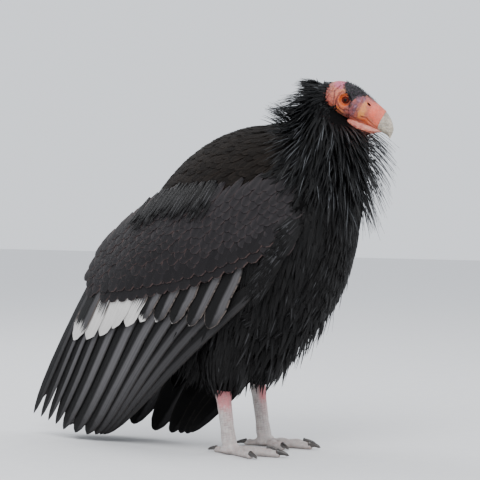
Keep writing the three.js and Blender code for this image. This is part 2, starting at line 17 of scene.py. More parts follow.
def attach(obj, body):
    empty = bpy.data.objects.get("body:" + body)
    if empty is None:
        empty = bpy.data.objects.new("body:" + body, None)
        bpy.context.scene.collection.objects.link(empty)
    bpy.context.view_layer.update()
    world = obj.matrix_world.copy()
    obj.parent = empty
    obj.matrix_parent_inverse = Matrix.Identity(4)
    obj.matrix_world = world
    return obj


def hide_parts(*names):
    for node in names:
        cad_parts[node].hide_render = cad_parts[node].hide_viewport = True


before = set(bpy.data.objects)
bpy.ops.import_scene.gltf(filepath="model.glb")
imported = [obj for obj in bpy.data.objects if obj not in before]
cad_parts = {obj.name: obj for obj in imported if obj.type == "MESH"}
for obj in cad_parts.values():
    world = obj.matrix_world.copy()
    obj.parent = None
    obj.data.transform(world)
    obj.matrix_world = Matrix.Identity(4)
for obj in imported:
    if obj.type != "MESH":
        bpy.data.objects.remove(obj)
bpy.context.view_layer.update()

# %% [markdown]
# ## Driving sizes
# The same named sizes that shape the solids, in millimetres: sections of the trunk, the line of
# the folded wing, and where the head sits. A trunk section holds its back point (x, z), its belly
# point (x, z) and its half width. Places are measured from the legs, and FORWARD then moves the
# whole bird so that the origin is the middle of its footprint.

# %% Named sizes
MM = 0.001
FORWARD = 88
TRUNK = np.array([
    [-232, 215, -232, 215, 0],
    [-240, 262, -205, 200, 58],
    [-243, 330, -150, 190, 88],
    [-233, 418, -75, 180, 115],
    [-184, 503, 5, 180, 134],
    [-122, 573, 98, 196, 142],
    [-54, 619, 168, 250, 140],
    [15, 643, 214, 316, 130],
    [75, 650, 240, 395, 115],
    [112, 656, 250, 478, 98],
    [136, 664, 255, 545, 80],
    [148, 676, 262, 588, 66],
    [156, 692, 260, 630, 55],
    [165, 706, 248, 658, 45],
    [180, 714, 234, 672, 36],
    [205, 698, 205, 698, 0],
], float)
WRIST = np.array([215.0, 480.0])
WING_SLOPE = radians(34)
SHOULDER_TOP = [(-15, 62), (-8, 84), (19, 107), (102, 146), (215, 214)]
WING_TOP = {
    -1: SHOULDER_TOP + [(310, 238), (402, 232), (466, 204), (570, 148)],
    1: SHOULDER_TOP + [(310, 246), (402, 262), (466, 256), (570, 210)],
}
WING_FRONT = [
    (-15, 56), (-8, 14), (30, -26), (65, -43), (107, -65), (147, -84), (170, -92), (254, -84), (570, -96),
]
WING_OUT = [
    (-15, 100), (50, 128), (150, 148), (250, 155), (350, 152), (450, 135), (550, 110), (650, 85), (822, 46),
]
CURL_TOP = {"from": 60, "over": 170, "by": 70}
CURL_FRONT = {"from": -40, "over": 70, "by": 20}
FLIGHT_ROOTS = {-1: ((-240, 420), (120, 341)), 1: ((-318, 418), (120, 341))}
FLIGHT_TIPS = {-1: ((-460, 12), (-300, 12)), 1: ((-496, 12), (-158, 12))}
GREATER_TIPS = [(297, -74), (342, -37), (385, -4), (417, 18), (460, 31), (489, 47), (553, 56), (613, 84)]
MEDIAN_TIPS = [(122, -22), (194, -9), (267, 9), (307, 22), (388, 57), (442, 79), (515, 118)]
TAIL_ROOT = np.array([-150.0, 330.0])
TAIL_TIP = np.array([-412.0, 20.0])
TAIL_HALF = 38
TAIL_ARCH = 0.004
HEAD_AT = Vector((236, 5, 696))
HEAD_SCALE = 0.94
HEAD_YAW = radians(15)
HEAD_PITCH = radians(27.5)
LEG_SPACING = 140
ANKLE = (1, 125)
FOOT_X = 19
FLOOR_GAP = 3
SIDES = (-1, 1)
SIDE_NAME = {-1: "right", 1: "left"}
rng = np.random.default_rng(7)


def place(point):
    """A place in millimetres from the legs, as metres in the frame."""
    return ((point[0] + FORWARD) * MM, point[1] * MM, point[2] * MM)


def smooth(value, low, high):
    """0 below low and 1 above high, with a soft step between."""
    t = np.clip((value - low) / (high - low), 0, 1)
    return t * t * (3 - 2 * t)


def unit(v):
    return v / np.maximum(np.linalg.norm(v, axis=-1, keepdims=True), 1e-9)


# %% [markdown]
# ## Surfaces that feathers lie on
# Each surface turns two numbers into a point and the way out of it. The trunk runs by station and
# by angle from the back line, and a folded wing by its distance back from the wrist and up from
# the closed feathers. A feather laid on such a surface follows it without any search for the
# nearest point.

# %% Trunk and wing surfaces
def spline(rows, t):
    """Points on a smooth curve through the rows, at places given in rows."""
    last = len(rows) - 1
    t = np.clip(np.asarray(t, float), 0, last)
    i = np.minimum(t.astype(int), last - 1)
    w = (t - i)[..., None]
    padded = np.vstack([2 * rows[0] - rows[1], rows, 2 * rows[-1] - rows[-2]])
    a, b, c, d = (padded[i + k] for k in range(4))
    return 0.5 * (2 * b + (c - a) * w + (2 * a - 5 * b + 4 * c - d) * w**2 + (3 * b - a - 3 * c + d) * w**3)


def section_point(rows, station, turn):
    """A point on the loft through rows of top (x, z), bottom (x, z) and half width."""
    row = spline(rows, station)
    rise = (row[..., 0:2] - row[..., 2:4]) / 2
    middle = (row[..., 0:2] + row[..., 2:4]) / 2
    flat = middle + rise * np.cos(turn)[..., None]
    return np.stack([flat[..., 0], np.maximum(row[..., 4], 0) * np.sin(turn), flat[..., 1]], -1)


def trunk_point(station, angle):
    return section_point(TRUNK, station, np.radians(angle))


def wing_point(side):
    back = np.array([-cos(WING_SLOPE), -sin(WING_SLOPE)])
    up = np.array([-sin(WING_SLOPE), cos(WING_SLOPE)])
    out_p, out_y = zip(*WING_OUT)

    def surface(p, q):
        at = WRIST + p[..., None] * back + q[..., None] * up
        high = np.maximum(q - CURL_TOP["from"], 0) / CURL_TOP["over"]
        low = np.maximum(CURL_FRONT["from"] - q, 0) / CURL_FRONT["over"]
        y = np.interp(p, out_p, out_y) - CURL_TOP["by"] * high**2 - CURL_FRONT["by"] * low**1.5
        return np.stack([at[..., 0], side * y, np.maximum(at[..., 1], FLOOR_GAP)], -1)

    return surface


def wing_place(x, z):
    """Distance back from the wrist and up, of a place on the wing given by x and z."""
    dx, dz = x - WRIST[0], z - WRIST[1]
    return (-dx * cos(WING_SLOPE) - dz * sin(WING_SLOPE), -dx * sin(WING_SLOPE) + dz * cos(WING_SLOPE))


def tail_point(p, y):
    way = unit(TAIL_TIP - TAIL_ROOT)
    at = TAIL_ROOT + p[..., None] * way
    return np.stack([at[..., 0], y + 0 * p, at[..., 1] - TAIL_ARCH * y**2], -1)


class Field:
    """A surface with its step sizes, the sign of its outward side and its own unwrap."""

    def __init__(self, surface, steps, run, flip, unwrap):
        self.surface, self.steps, self.run, self.flip, self.unwrap = surface, steps, run, flip, unwrap

    def at(self, a, b):
        da, db = self.steps
        along = self.surface(a + da, b) - self.surface(a - da, b)
        across = self.surface(a, b + db) - self.surface(a, b - db)
        return self.surface(a, b), unit(np.cross(along, across)) * self.flip

    def lengths(self, a, b):
        da, db = self.steps
        size_a = np.linalg.norm(self.surface(a + da, b) - self.surface(a - da, b), axis=-1) / (2 * da)
        size_b = np.linalg.norm(self.surface(a, b + db) - self.surface(a, b - db), axis=-1) / (2 * db)
        return np.maximum(size_a, 1e-3), np.maximum(size_b, 1e-3)


trunk = Field(trunk_point, (0.02, 0.5), -1, 1, lambda a, b: (a / 15, (b % 360) / 360))
wings = {
    side: Field(wing_point(side), (1.0, 1.0), 1, side, lambda a, b: ((a + 40) / 900, (b + 150) / 450))
    for side in SIDES
}
tail = Field(tail_point, (1.0, 1.0), 1, -1, lambda a, b: (a / 420, (b + 50) / 100))
print("way out of the back:", trunk.at(np.array([6.0]), np.array([0.0]))[1].round(2))
for side in SIDES:
    print("way out of the wing:", wings[side].at(np.array([250.0]), np.array([0.0]))[1].round(2))
print("way out of the tail:", tail.at(np.array([250.0]), np.array([0.0]))[1].round(2))


# %% [markdown]
# ## Vanes
# A feather is a thin closed strip: rows from root to tip, each with a left edge, a raised shaft and
# a right edge, and an underside. Every feather of a piece goes into one mesh, built from arrays,
# because a modelling operator for each of thousands of feathers would take many minutes. The vane
# map runs across and along each feather, and `look` holds four numbers for the material: tone,
# brown edge, grey web and white tip.

# %% One mesh of many vanes
PATCH = 0.003


def strip_mesh(name, left, middle, right, out, thick, look, unwrap, material):
    """One mesh of many vanes; left, middle, right and out are arrays (feather, row, 3)."""
    count, rows = left.shape[:2]
    thick = np.broadcast_to(np.asarray(thick, float).reshape(-1, 1, 1), (count, 1, 1)) / 2
    fade = np.linspace(1, 0.4, rows)[None, :, None]
    ring = np.stack([left, middle + out * thick * fade, right, middle - out * thick * fade], 2)
    points = ring.reshape(-1, 3) * MM
    points[:, 0] += FORWARD * MM
    base = (np.arange(count) * rows * 4)[:, None, None]
    row = (np.arange(rows - 1) * 4)[None, :, None]
    corner = np.arange(4)[None, None, :]
    a, b = base + row + corner, base + row + (corner + 1) % 4
    walls = np.stack([a, b, b + 4, a + 4], -1).reshape(-1, 4)
    first = base[:, 0] + np.arange(4)[None, ::-1]
    last = base[:, 0] + 4 * (rows - 1) + np.arange(4)[None, :]
    faces = np.vstack([walls, first, last])
    facing = np.cross(left[:, 1] - right[:, 1], middle[:, 2] - middle[:, 1])
    if (facing * out[:, 1]).sum() > 0:
        faces = faces[:, ::-1]
    mesh = bpy.data.meshes.new(name)
    mesh.vertices.add(len(points))
    mesh.vertices.foreach_set("co", points.ravel())
    mesh.loops.add(faces.size)
    mesh.loops.foreach_set("vertex_index", faces.ravel().astype(np.int32))
    mesh.polygons.add(len(faces))
    mesh.polygons.foreach_set("loop_start", np.arange(0, faces.size, 4, dtype=np.int32))
    mesh.update(calc_edges=True)
    mesh.polygons.foreach_set("use_smooth", np.ones(len(faces), bool))
    ends = np.empty(len(mesh.edges) * 2, np.int32)
    mesh.edges.foreach_get("vertices", ends)
    ends = ends.reshape(-1, 2)
    rim = (np.abs(ends[:, 0] - ends[:, 1]) == 4) & (ends[:, 0] % 2 == 0)
    mesh.attributes.new("sharp_edge", "BOOLEAN", "EDGE").data.foreach_set("value", rim)
    across = np.tile(np.array([0, 0.5, 1, 0.5]), count * rows)
    along = np.tile(np.repeat(np.linspace(0, 1, rows), 4), count)
    vane = np.stack([across, along], 1)
    patch = np.repeat(np.stack(unwrap, 1), rows * 4, 0) + PATCH * (vane - 0.5)
    loops = faces.ravel()
    for title, coordinates in (("Vane", vane), ("OFBake", patch)):
        layer = mesh.uv_layers.new(name=title)
        layer.data.foreach_set("uv", coordinates[loops].ravel())
    colours = np.repeat(look, rows * 4, 0)
    mesh.attributes.new("look", "FLOAT_COLOR", "POINT").data.foreach_set("color", colours.ravel())
    mesh.materials.append(material)
    piece = bpy.data.objects.new(name, mesh)
    bpy.context.collection.objects.link(piece)
    return piece


# %% [markdown]
# An outline is a few pairs: how far along the feather, and how much of its full width it has there.
# A lance is a loose plume, a round one a small covert, a blade a greater covert, and a quill a
# flight feather. Feathers that lie down follow a surface by its two numbers, with the root under
# the tips of those before it. Free plumes leave the surface and bend over their length.

# %% Outlines, lying feathers and free plumes
LANCE = ((0, 0.7), (0.25, 1), (0.55, 0.8), (0.8, 0.45), (1, 0.05))
ROUND = ((0, 0.5), (0.35, 0.92), (0.7, 1), (0.9, 0.8), (0.975, 0.45), (1, 0.12))
BLADE = (
    (0, 0.5), (0.1, 0.9), (0.25, 1), (0.5, 1), (0.68, 0.96), (0.8, 0.86), (0.88, 0.7), (0.94, 0.5),
    (0.98, 0.27), (1, 0.07),
)
QUILL = (
    (0, 0.5), (0.1, 0.9), (0.25, 1), (0.4, 1), (0.55, 1), (0.7, 0.97), (0.82, 0.88), (0.9, 0.74),
    (0.96, 0.5), (0.99, 0.25), (1, 0.08),
)


def lay(name, field, a, b, length, width, material, look, turn=0.0, rise=(-2.0, 3.0), crown=0.12,
        shape=ROUND, thick=1.0, louver=0.0, ragged=0.0):
    """Feathers that run over a surface from their roots (a, b), turned by an angle in degrees."""
    values = (np.asarray(v, float) for v in (a, b, length, width, turn))
    a, b, length, width, turn = np.broadcast_arrays(*values)
    turn = np.radians(turn)[:, None]
    size_a, size_b = (v[:, None] for v in field.lengths(a, b))
    t = np.array([row[0] for row in shape])
    share = np.array([row[1] for row in shape])[None]
    step = length[:, None] * t[None]
    line_a = a[:, None] + field.run * np.cos(turn) * step / size_a
    line_b = b[:, None] + np.sin(turn) * step / size_b
    lift = rise[0] + (rise[1] - rise[0]) * t[None]

    def edge(v):
        half = width[:, None] * share / 2 * (1 - ragged * rng.random((len(a), len(t))))
        point, out = field.at(line_a - field.run * v * half * np.sin(turn) / size_a,
                              line_b + v * half * np.cos(turn) / size_b)
        return point + out * (lift - crown * half * abs(v) + louver * v)[..., None], out

    left, middle, right = edge(-1)[0], edge(0), edge(1)[0]
    return strip_mesh(name, left, middle[0], right, middle[1], thick, look, field.unwrap(a, b), material)


def plumes(name, root, away, side, length, width, bend, material, look, unwrap, thick=0.8):
    """Free-standing plumes from their roots, each bent by a vector over its own length."""
    t, share = np.array(LANCE).T
    run = length[:, None, None] * t[None, :, None]
    middle = root[:, None] + away[:, None] * run + bend[:, None] * run * t[None, :, None]
    half = (width[:, None] * share[None] / 2)[..., None] * side[:, None]
    out = unit(np.cross(np.broadcast_to(side[:, None], middle.shape), np.gradient(middle, axis=1)))
    return strip_mesh(name, middle - half, middle, middle + half, out, thick, look, unwrap, material)


def looks(count, tone=0.5, spread=0.5, edge=0.5, grey=0.0, white=0.0):
    """Tone, brown edge, grey web and white tip of each feather, with a seeded spread of tone."""
    tones = np.clip(tone + spread * (rng.random(count) - 0.5), 0, 1)
    rest = [np.broadcast_to(np.asarray(v, float), count) for v in (edge, grey, white)]
    return np.stack([tones, *rest], 1)


def coat(piece, slot, *nodes):
    """Rides a finished piece on the root and hides the solids it stands for; the slot is not used."""
    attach(piece, "root")
    if nodes:
        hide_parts(*nodes)
    return piece


# %% [markdown]
# ## Materials
# Plumage is drawn from the vane map: barbs that slant from the shaft to the edge, a paler brown
# rim, and a grey part. On flight feathers the grey is the outer web, between the shaft and the
# edge. On plumes of the ruff and breast it is a streak along the shaft. White covers the end of
# a feather from a place of its own, with a frayed start.

# %% Material helpers
class Nodes:
    """A short way to write a procedural material."""

    def __init__(self, name):
        self.material = bpy.data.materials.new(name)
        self.material.use_nodes = True
        self.tree = self.material.node_tree
        self.shader = self.tree.nodes["Principled BSDF"]

    def add(self, kind, inputs=(), **settings):
        node = self.tree.nodes.new("ShaderNode" + kind)
        for key, value in settings.items():
            setattr(node, key, value)
        for key, value in dict(inputs).items():
            self.put(node.inputs[key], value)
        return node

    def put(self, socket, value):
        if isinstance(value, bpy.types.NodeSocket):
            self.tree.links.new(value, socket)
        elif isinstance(value, (tuple, list)) and socket.type == "RGBA" and len(value) == 3:
            socket.default_value = (*value, 1)
        else:
            socket.default_value = value

    def math(self, operation, *values):
        return self.add("Math", enumerate(values), operation=operation).outputs[0]

    def ramp(self, value, low, high, to=(0, 1)):
        inputs = {0: value, 1: low, 2: high, 3: to[0], 4: to[1]}
        return self.add("MapRange", inputs, interpolation_type="SMOOTHSTEP").outputs[0]

    def mix(self, share, first, second):
        return self.add("Mix", {0: share, 6: first, 7: second}, data_type="RGBA").outputs[2]

    def here(self):
        return self.add("TexCoord").outputs["Object"]

    def noise(self, vector, scale, detail=3.0, roughness=0.55):
        inputs = {"Scale": scale, "Detail": detail, "Roughness": roughness, "Vector": vector}
        return self.add("TexNoise", inputs).outputs["Fac"]

    def bump(self, height, strength, distance=0.001):
        inputs = {"Height": height, "Strength": strength, "Distance": distance}
        return self.add("Bump", inputs).outputs[0]

    def finish(self, **inputs):
        for key, value in inputs.items():
            self.put(self.shader.inputs[key.replace("_", " ")], value)
        return self.material


# %% [markdown]
# The same plumage serves every feather, and each kind of feather only sets its colours, how many
# barbs it shows and whether its grey is a web or a streak. The barbs are a sine along the vane,
# bent back from the shaft and disturbed by noise, so they colour the feather and raise its bump.

# %% Plumage material
def plumage(name, dark, light, rim, grey=(0.12, 0.12, 0.125), web=True, roughness=0.55, barbs=26.0,
            slant=9.0, shine=0.14):
    """Feather material: dark to light by tone, a brown rim, slanting barbs, a grey web or streak."""
    m = Nodes(name)
    axes = m.add("SeparateXYZ", {0: m.add("UVMap", uv_map="Vane").outputs[0]}).outputs
    look = m.add("Attribute", attribute_name="look", attribute_type="GEOMETRY")
    tone, edge, grey_share = m.add("SeparateColor", {0: look.outputs["Color"]}).outputs
    across, along, white_share = axes[0], axes[1], look.outputs["Alpha"]
    off = m.math("ABSOLUTE", m.math("SUBTRACT", across, 0.5))
    fine = m.noise(m.here(), 140.0, 2.0)
    barb = m.math("ADD", m.math("MULTIPLY", along, barbs), m.math("MULTIPLY", off, -slant))
    ridge = m.math("SINE", m.math("ADD", m.math("MULTIPLY", barb, 2 * pi), m.math("MULTIPLY", fine, 6.0)))
    base = m.mix(tone, dark, light)
    heart = m.math("MULTIPLY", m.ramp(off, 0.42, 0.1), m.ramp(along, 1.0, 0.8))
    base = m.mix(m.math("MULTIPLY", heart, 0.55), base, dark)
    base = m.mix(m.math("MULTIPLY", m.ramp(ridge, -1.0, 1.0), 0.3), base, dark)
    grain = {0: m.math("MULTIPLY", across, 16.0), 1: m.math("MULTIPLY", along, 1.6), 2: tone}
    strands = m.noise(m.add("CombineXYZ", grain).outputs[0], 1.7, 2.0)
    if web:
        area = m.math("MULTIPLY", m.ramp(across, 0.44, 0.30), m.ramp(across, 0.0, 0.13))
        end = m.math("ADD", along, m.math("MULTIPLY", fine, 0.15))
        area = m.math("MULTIPLY", area, m.ramp(end, 1.1, 0.42))
        area = m.math("MULTIPLY", area, m.ramp(strands, 0.2, 0.7, (0.6, 1.0)))
    else:
        area = m.math("MULTIPLY", m.ramp(off, 0.16, 0.04), m.ramp(along, 1.0, 0.75))
        area = m.math("MULTIPLY", area, m.ramp(along, 0.22, 0.5))
    base = m.mix(m.math("MULTIPLY", area, grey_share), base, grey)
    around = m.math("MAXIMUM", m.ramp(off, 0.38, 0.5), m.ramp(along, 0.9, 1.0))
    around = m.math("MULTIPLY", around, m.ramp(fine, 0.3, 0.6))
    base = m.mix(m.math("MULTIPLY", around, edge), base, rim)
    start = m.math("SUBTRACT", 1.0, white_share)
    frayed = m.math("ADD", along, m.math("MULTIPLY", m.math("SUBTRACT", strands, 0.5), 0.5))
    white = m.ramp(m.math("SUBTRACT", frayed, start), -0.02, 0.06)
    white = m.math("MULTIPLY", white, m.ramp(white_share, 0.01, 0.03))
    chalk = m.mix(strands, (0.46, 0.44, 0.42), (0.78, 0.76, 0.73))
    base = m.mix(m.math("MULTIPLY", white, 0.94), base, chalk)
    shaft = m.math("MULTIPLY", m.ramp(off, 0.03, 0.0), m.ramp(along, 1.0, 0.6))
    height = m.math("ADD", ridge, m.math("MULTIPLY", shaft, 2.5))
    return m.finish(Base_Color=base, Roughness=roughness, Normal=m.bump(height, 0.3, 0.0005),
                    Specular_IOR_Level=shine)


MANTLE = plumage("MantleFeathers", (0.0062, 0.0050, 0.0043), (0.0205, 0.0162, 0.0135), (0.036, 0.026, 0.021),
                 roughness=0.72, shine=0.07)
COVERT = plumage("WingCoverts", (0.0072, 0.0062, 0.0070), (0.0275, 0.0242, 0.0262), (0.088, 0.054, 0.048))
FLIGHT = plumage("FlightFeathers", (0.0038, 0.0035, 0.0036), (0.0075, 0.007, 0.0072), (0.13, 0.105, 0.092),
                 grey=(0.105, 0.101, 0.105), roughness=0.5, barbs=70.0, slant=14.0)
BREAST = plumage("BreastFeathers", (0.0032, 0.003, 0.0031), (0.0105, 0.0098, 0.0098), (0.022, 0.0175, 0.016),
                 grey=(0.085, 0.085, 0.09), web=False, roughness=0.5, barbs=18.0)
RUFF = plumage("RuffPlumes", (0.0022, 0.0023, 0.0026), (0.0068, 0.007, 0.0078), (0.012, 0.012, 0.0135),
               grey=(0.19, 0.20, 0.215), web=False, roughness=0.45, barbs=14.0, shine=0.2)
print("plumage materials made")


# %% [markdown]
# ## The skin under the coat
# One dark skin runs under the feathers of the trunk, the neck and the thighs, and a pad under those
# of each wing. It lies inside the solids by the depth of the coat, and swells out past them at the
# throat, the nape and the flanks, where the plumes are thickest, so that no plume starts in the air.
# The trunk starts as a round ball whose rings are moved on to the trunk's sections, and a voxel
# remesh melts the thighs into it.

# %% A closed ball bent on to sections
def ball_loft(bm, rows, around, along):
    """A closed ball with its poles at the first and last section; returns station and turn of each vertex."""
    made = bmesh.ops.create_uvsphere(bm, u_segments=around, v_segments=along, radius=1)["verts"]
    spread = np.linspace(0, len(rows) - 1, 400)
    steps = 0
    for turn, weight in ((0.0, 1), (pi, 1), (pi / 2, 2)):
        line = section_point(rows, spread, np.full(len(spread), turn))
        steps = steps + weight * np.linalg.norm(np.diff(line, axis=0), axis=1)
    travelled = np.concatenate([[0], np.cumsum(steps)]) / steps.sum()
    raw = np.array([vert.co[:] for vert in made])
    share = np.arccos(np.clip(-raw[:, 2], -1, 1)) / pi
    return made, np.interp(share, travelled, spread), np.arctan2(raw[:, 1], raw[:, 0])


def set_points(verts, points):
    for vert, point in zip(verts, points.tolist()):
        vert.co = place(point)


def object_from(bm, name, material=None):
    """A smooth object of a bmesh, with its faces turned outwards, which its volume proves."""
    bmesh.ops.recalc_face_normals(bm, faces=bm.faces)
    if bm.calc_volume(signed=True) < 0:
        bmesh.ops.reverse_faces(bm, faces=bm.faces)
    mesh = bpy.data.meshes.new(name)
    bm.to_mesh(mesh)
    bm.free()
    mesh.polygons.foreach_set("use_smooth", np.ones(len(mesh.polygons), bool))
    if material:
        mesh.materials.append(material)
    piece = bpy.data.objects.new(name, mesh)
    bpy.context.collection.objects.link(piece)
    return piece


def melt(piece, voxel, rounds):
    """Melts the parts of a piece into one skin, applied to its mesh."""
    remesh = piece.modifiers.new("Melt", "REMESH")
    remesh.mode = "VOXEL"
    remesh.voxel_size = voxel
    settle = piece.modifiers.new("Settle", "SMOOTH")
    settle.iterations = rounds
    settle.factor = 0.5
    mesh = bpy.data.meshes.new_from_object(piece.evaluated_get(bpy.context.evaluated_depsgraph_get()))
    piece.modifiers.clear()
    piece.data = mesh
    mesh.polygons.foreach_set("use_smooth", np.ones(len(mesh.polygons), bool))
    return piece


# %% [markdown]
# The thighs are short lofts of their own. The pad of a folded wing is a ball pressed flat, thick
# where it meets the breast and thin towards the tips, because the quills alone make the wing there.

# %% Trunk, neck, wing and thigh skin
COAT_DEPTH = 6.0
ROOT_DEPTH = 5.0
SWELL = {"throat": 21, "nape": 12, "flank": 17}
THIGH = np.array([  # front (x, z), rear (x, z), half width
    [10, 290, 10, 290, 0], [55, 275, -28, 275, 30], [66, 240, -40, 240, 38], [64, 190, -38, 190, 38],
    [56, 160, -28, 160, 31], [44, 140, -22, 140, 25], [24, 126, -16, 126, 16], [5, 120, 5, 120, 0],
], float)


def swell(station, turn):
    """How far the skin stands out under the thickest plumes: at the throat, the nape and the flanks."""
    throat = smooth(-np.cos(turn), 0.2, 0.9) * smooth(station, 8.2, 10.2) * smooth(station, 12.8, 11.8)
    nape = smooth(np.cos(turn), 0.2, 0.9) * smooth(station, 8.8, 10.8) * smooth(station, 14.6, 13.6)
    from_back = np.abs(np.degrees(np.arctan2(np.sin(turn), np.cos(turn))))
    flank = smooth(from_back, 90, 112) * smooth(from_back, 148, 122)
    flank = flank * smooth(station, 5.2, 6.8) * smooth(station, 9.8, 8.6)
    return SWELL["throat"] * throat + SWELL["nape"] * nape + SWELL["flank"] * flank


def trunk_skin():
    bm = bmesh.new()
    verts, station, turn = ball_loft(bm, TRUNK, 64, 90)
    points, out = trunk.at(np.clip(station, 0.02, 14.98), np.degrees(turn))
    depth = COAT_DEPTH - swell(station, turn)
    set_points(verts, points - out * depth[:, None])
    for side in SIDES:
        verts, station, turn = ball_loft(bm, THIGH, 32, 40)
        points = section_point(THIGH, station, turn)
        points[:, 1] += side * LEG_SPACING / 2
        set_points(verts, points)
    return melt(object_from(bm, "body_skin"), 0.005, 3)


def wing_skin(side):
    """A pad under the coverts: a ball pressed flat between the wing's front edge and its top line."""
    bm = bmesh.new()
    made = bmesh.ops.create_uvsphere(bm, u_segments=80, v_segments=60, radius=1)["verts"]
    raw = np.array([vert.co[:] for vert in made])
    wide = np.sqrt(np.maximum(1 - raw[:, 0] ** 2, 1e-6))
    p = np.interp(raw[:, 0], (-1, 1), (-9, 560))
    top = np.interp(p, *zip(*WING_TOP[side])) - 6
    front = np.interp(p, *zip(*WING_FRONT)) + 6
    q = front + (top - front) * (np.clip(raw[:, 1] / wide, -1, 1) + 1) / 2
    points, out = wings[side].at(p, q)
    upper = smooth(q, np.interp(p, *zip(*MEDIAN_TIPS)) - 25, np.interp(p, *zip(*MEDIAN_TIPS)) + 25)
    inner = (4 + 3 * upper) + 28 * smooth(p, 330, 160) * np.clip(1 - raw[:, 0] ** 2, 0, 1) ** 0.3
    depth = -22 + 16 * upper + inner * (raw[:, 2] - 1)
    set_points(made, points + out * depth[:, None])
    return object_from(bm, f"wing_skin_{SIDE_NAME[side]}")


def under_down():
    m = Nodes("UnderDown")
    down = m.noise(m.here(), 160.0)
    return m.finish(Base_Color=m.mix(down, (0.0018, 0.0018, 0.002), (0.006, 0.0055, 0.0055)), Roughness=0.9,
                    Normal=m.bump(down, 0.6), Specular_IOR_Level=0.04)


DOWN = under_down()
body_skin = trunk_skin()
body_skin.data.materials.append(DOWN)
coat(body_skin, "body_plumage", "torso", "neck", "thigh_right", "thigh_left")
for side in SIDES:
    pad = wing_skin(side)
    pad.data.materials.append(DOWN)
    coat(pad, "wing_plumage", f"wing_{SIDE_NAME[side]}")
print("body skin faces:", len(body_skin.data.polygons))


# %% [markdown]
# ## Back, breast and belly
# Contour feathers stand in rows round the trunk, each row between the feathers of the last. They
# are small at the neck, broader on the back, and long and narrow on the breast and belly, where
# they hang like loose strands.

# %% Back and breast
def rows_over_trunk(start, stop, gap, low, high, spacing):
    """Roots in staggered rows, from one station down to another, a set distance apart."""
    a, b = [], []
    station, odd = start, 0
    while station > stop:
        size_a, size_b = trunk.lengths(np.array([station]), np.array([(low + high) / 2]))
        width = spacing / float(size_b[0])
        count = max(3, int((high - low) / width))
        a.extend(station + 0.12 * (rng.random(count) - 0.5))
        b.extend(low + (np.arange(count) + 0.5 * odd + 0.5 * rng.random(count)) * (high - low) / count)
        station -= gap / float(size_a[0])
        odd = 1 - odd
    return np.array(a), np.array(b)


def mantle_feathers():
    a, b = rows_over_trunk(11.2, 1.0, 10, -95, 95, 9)
    big = smooth(a, 10.4, 5.0)
    length = 30 + 18 * big + 10 * rng.random(len(a))
    width = 8 + 7 * big + 2 * rng.random(len(a))
    turn = np.sign(b) * 8 * np.abs(b) / 90 + 20 * (rng.random(len(a)) - 0.5)
    look = looks(len(a), 0.45, 0.9, 0.5 * rng.random(len(a)))
    return lay("mantle", trunk, a, b, length, width, MANTLE, look, turn, rise=(-4.5, 1.2), crown=0.05,
               thick=0.4, ragged=0.2)


def breast_feathers(side):
    low, high = (78, 186) if side > 0 else (-186, -78)
    a, b = rows_over_trunk(10.6, 2.2, 11, low, high, 7.5)
    length = 48 + 26 * rng.random(len(a))
    width = 6.5 + 4 * rng.random(len(a))
    turn = 22 * (rng.random(len(a)) - 0.5) - side * 8
    grey = np.where(rng.random(len(a)) < 0.35, rng.random(len(a)), 0)
    look = looks(len(a), 0.4, 0.9, 0.3, grey)
    return lay(f"breast_{SIDE_NAME[side]}", trunk, a, b, length, width, BREAST, look, turn, rise=(-4.5, 4.0),
               crown=0.2, shape=LANCE, thick=0.8)


# %% [markdown]
# Strands differ from the feathers above: they don't follow the skin, but hang from it, each turned
# a little its own way. They break the outline of the belly and close the gap beside the wing.

# %% Strands of the belly and the flanks
def belly_strands(side):
    """Loose strands that hang from the belly over the tops of the thighs."""
    count = 620
    a = 2.6 + 4.9 * rng.random(count)
    b = side * (98 + 84 * rng.random(count))
    point, out = trunk.at(a, b)
    vary = rng.random((4, count)) - 0.5
    stray = np.array([0.5, 0.4, 0]) * vary[1][:, None]
    away = unit(np.array([-0.30, 0, -1.0]) + out * (0.18 + 0.25 * vary[0])[:, None] + stray)
    across = unit(np.cross(away, out) + 0.5 * vary[2][:, None] * out)
    length = (62 + 44 * vary[3]) * (1 - 0.5 * smooth(a, 4.4, 7.5))
    bend = np.array([-0.10, 0, -0.12]) - out * 0.12
    grey = np.where(rng.random(count) < 0.3, 0.7 * rng.random(count), 0)
    look = looks(count, 0.4, 0.9, 0.2, grey)
    width = 7.5 + 3 * vary[0]
    return plumes(f"belly_strands_{SIDE_NAME[side]}", point - out * 3, away, across, length, width, bend,
                  BREAST, look, trunk.unwrap(a, b))


def side_strands(side):
    """Strands on the flanks that close the gap between the body and the folded wing."""
    count = 420
    a = 5.6 + 3.6 * rng.random(count)
    b = side * (92 + 46 * rng.random(count))
    point, out = trunk.at(a, b)
    vary = rng.random((3, count)) - 0.5
    away = unit(np.array([-0.2, 0, -0.9]) + out * (0.1 + 0.2 * vary[0])[:, None])
    across = unit(np.cross(away, out) + 0.4 * vary[1][:, None] * out)
    bend = np.array([-0.05, 0, -0.1]) - out * 0.12
    look = looks(count, 0.35, 0.9, 0.2, np.where(rng.random(count) < 0.2, 0.5 * rng.random(count), 0))
    root = point + out * (swell(a, np.radians(b)) - ROOT_DEPTH)[:, None]
    length, width = 52 + 26 * vary[2], 8 + 3 * vary[0]
    return plumes(f"side_strands_{SIDE_NAME[side]}", root, away, across, length, width, bend,
                  BREAST, look, trunk.unwrap(a, b))


coat(mantle_feathers(), "body_plumage")
for side in SIDES:
    coat(side_strands(side), "body_plumage")
    coat(breast_feathers(side), "body_plumage")
    coat(belly_strands(side), "body_plumage")
print("contour feathers laid")


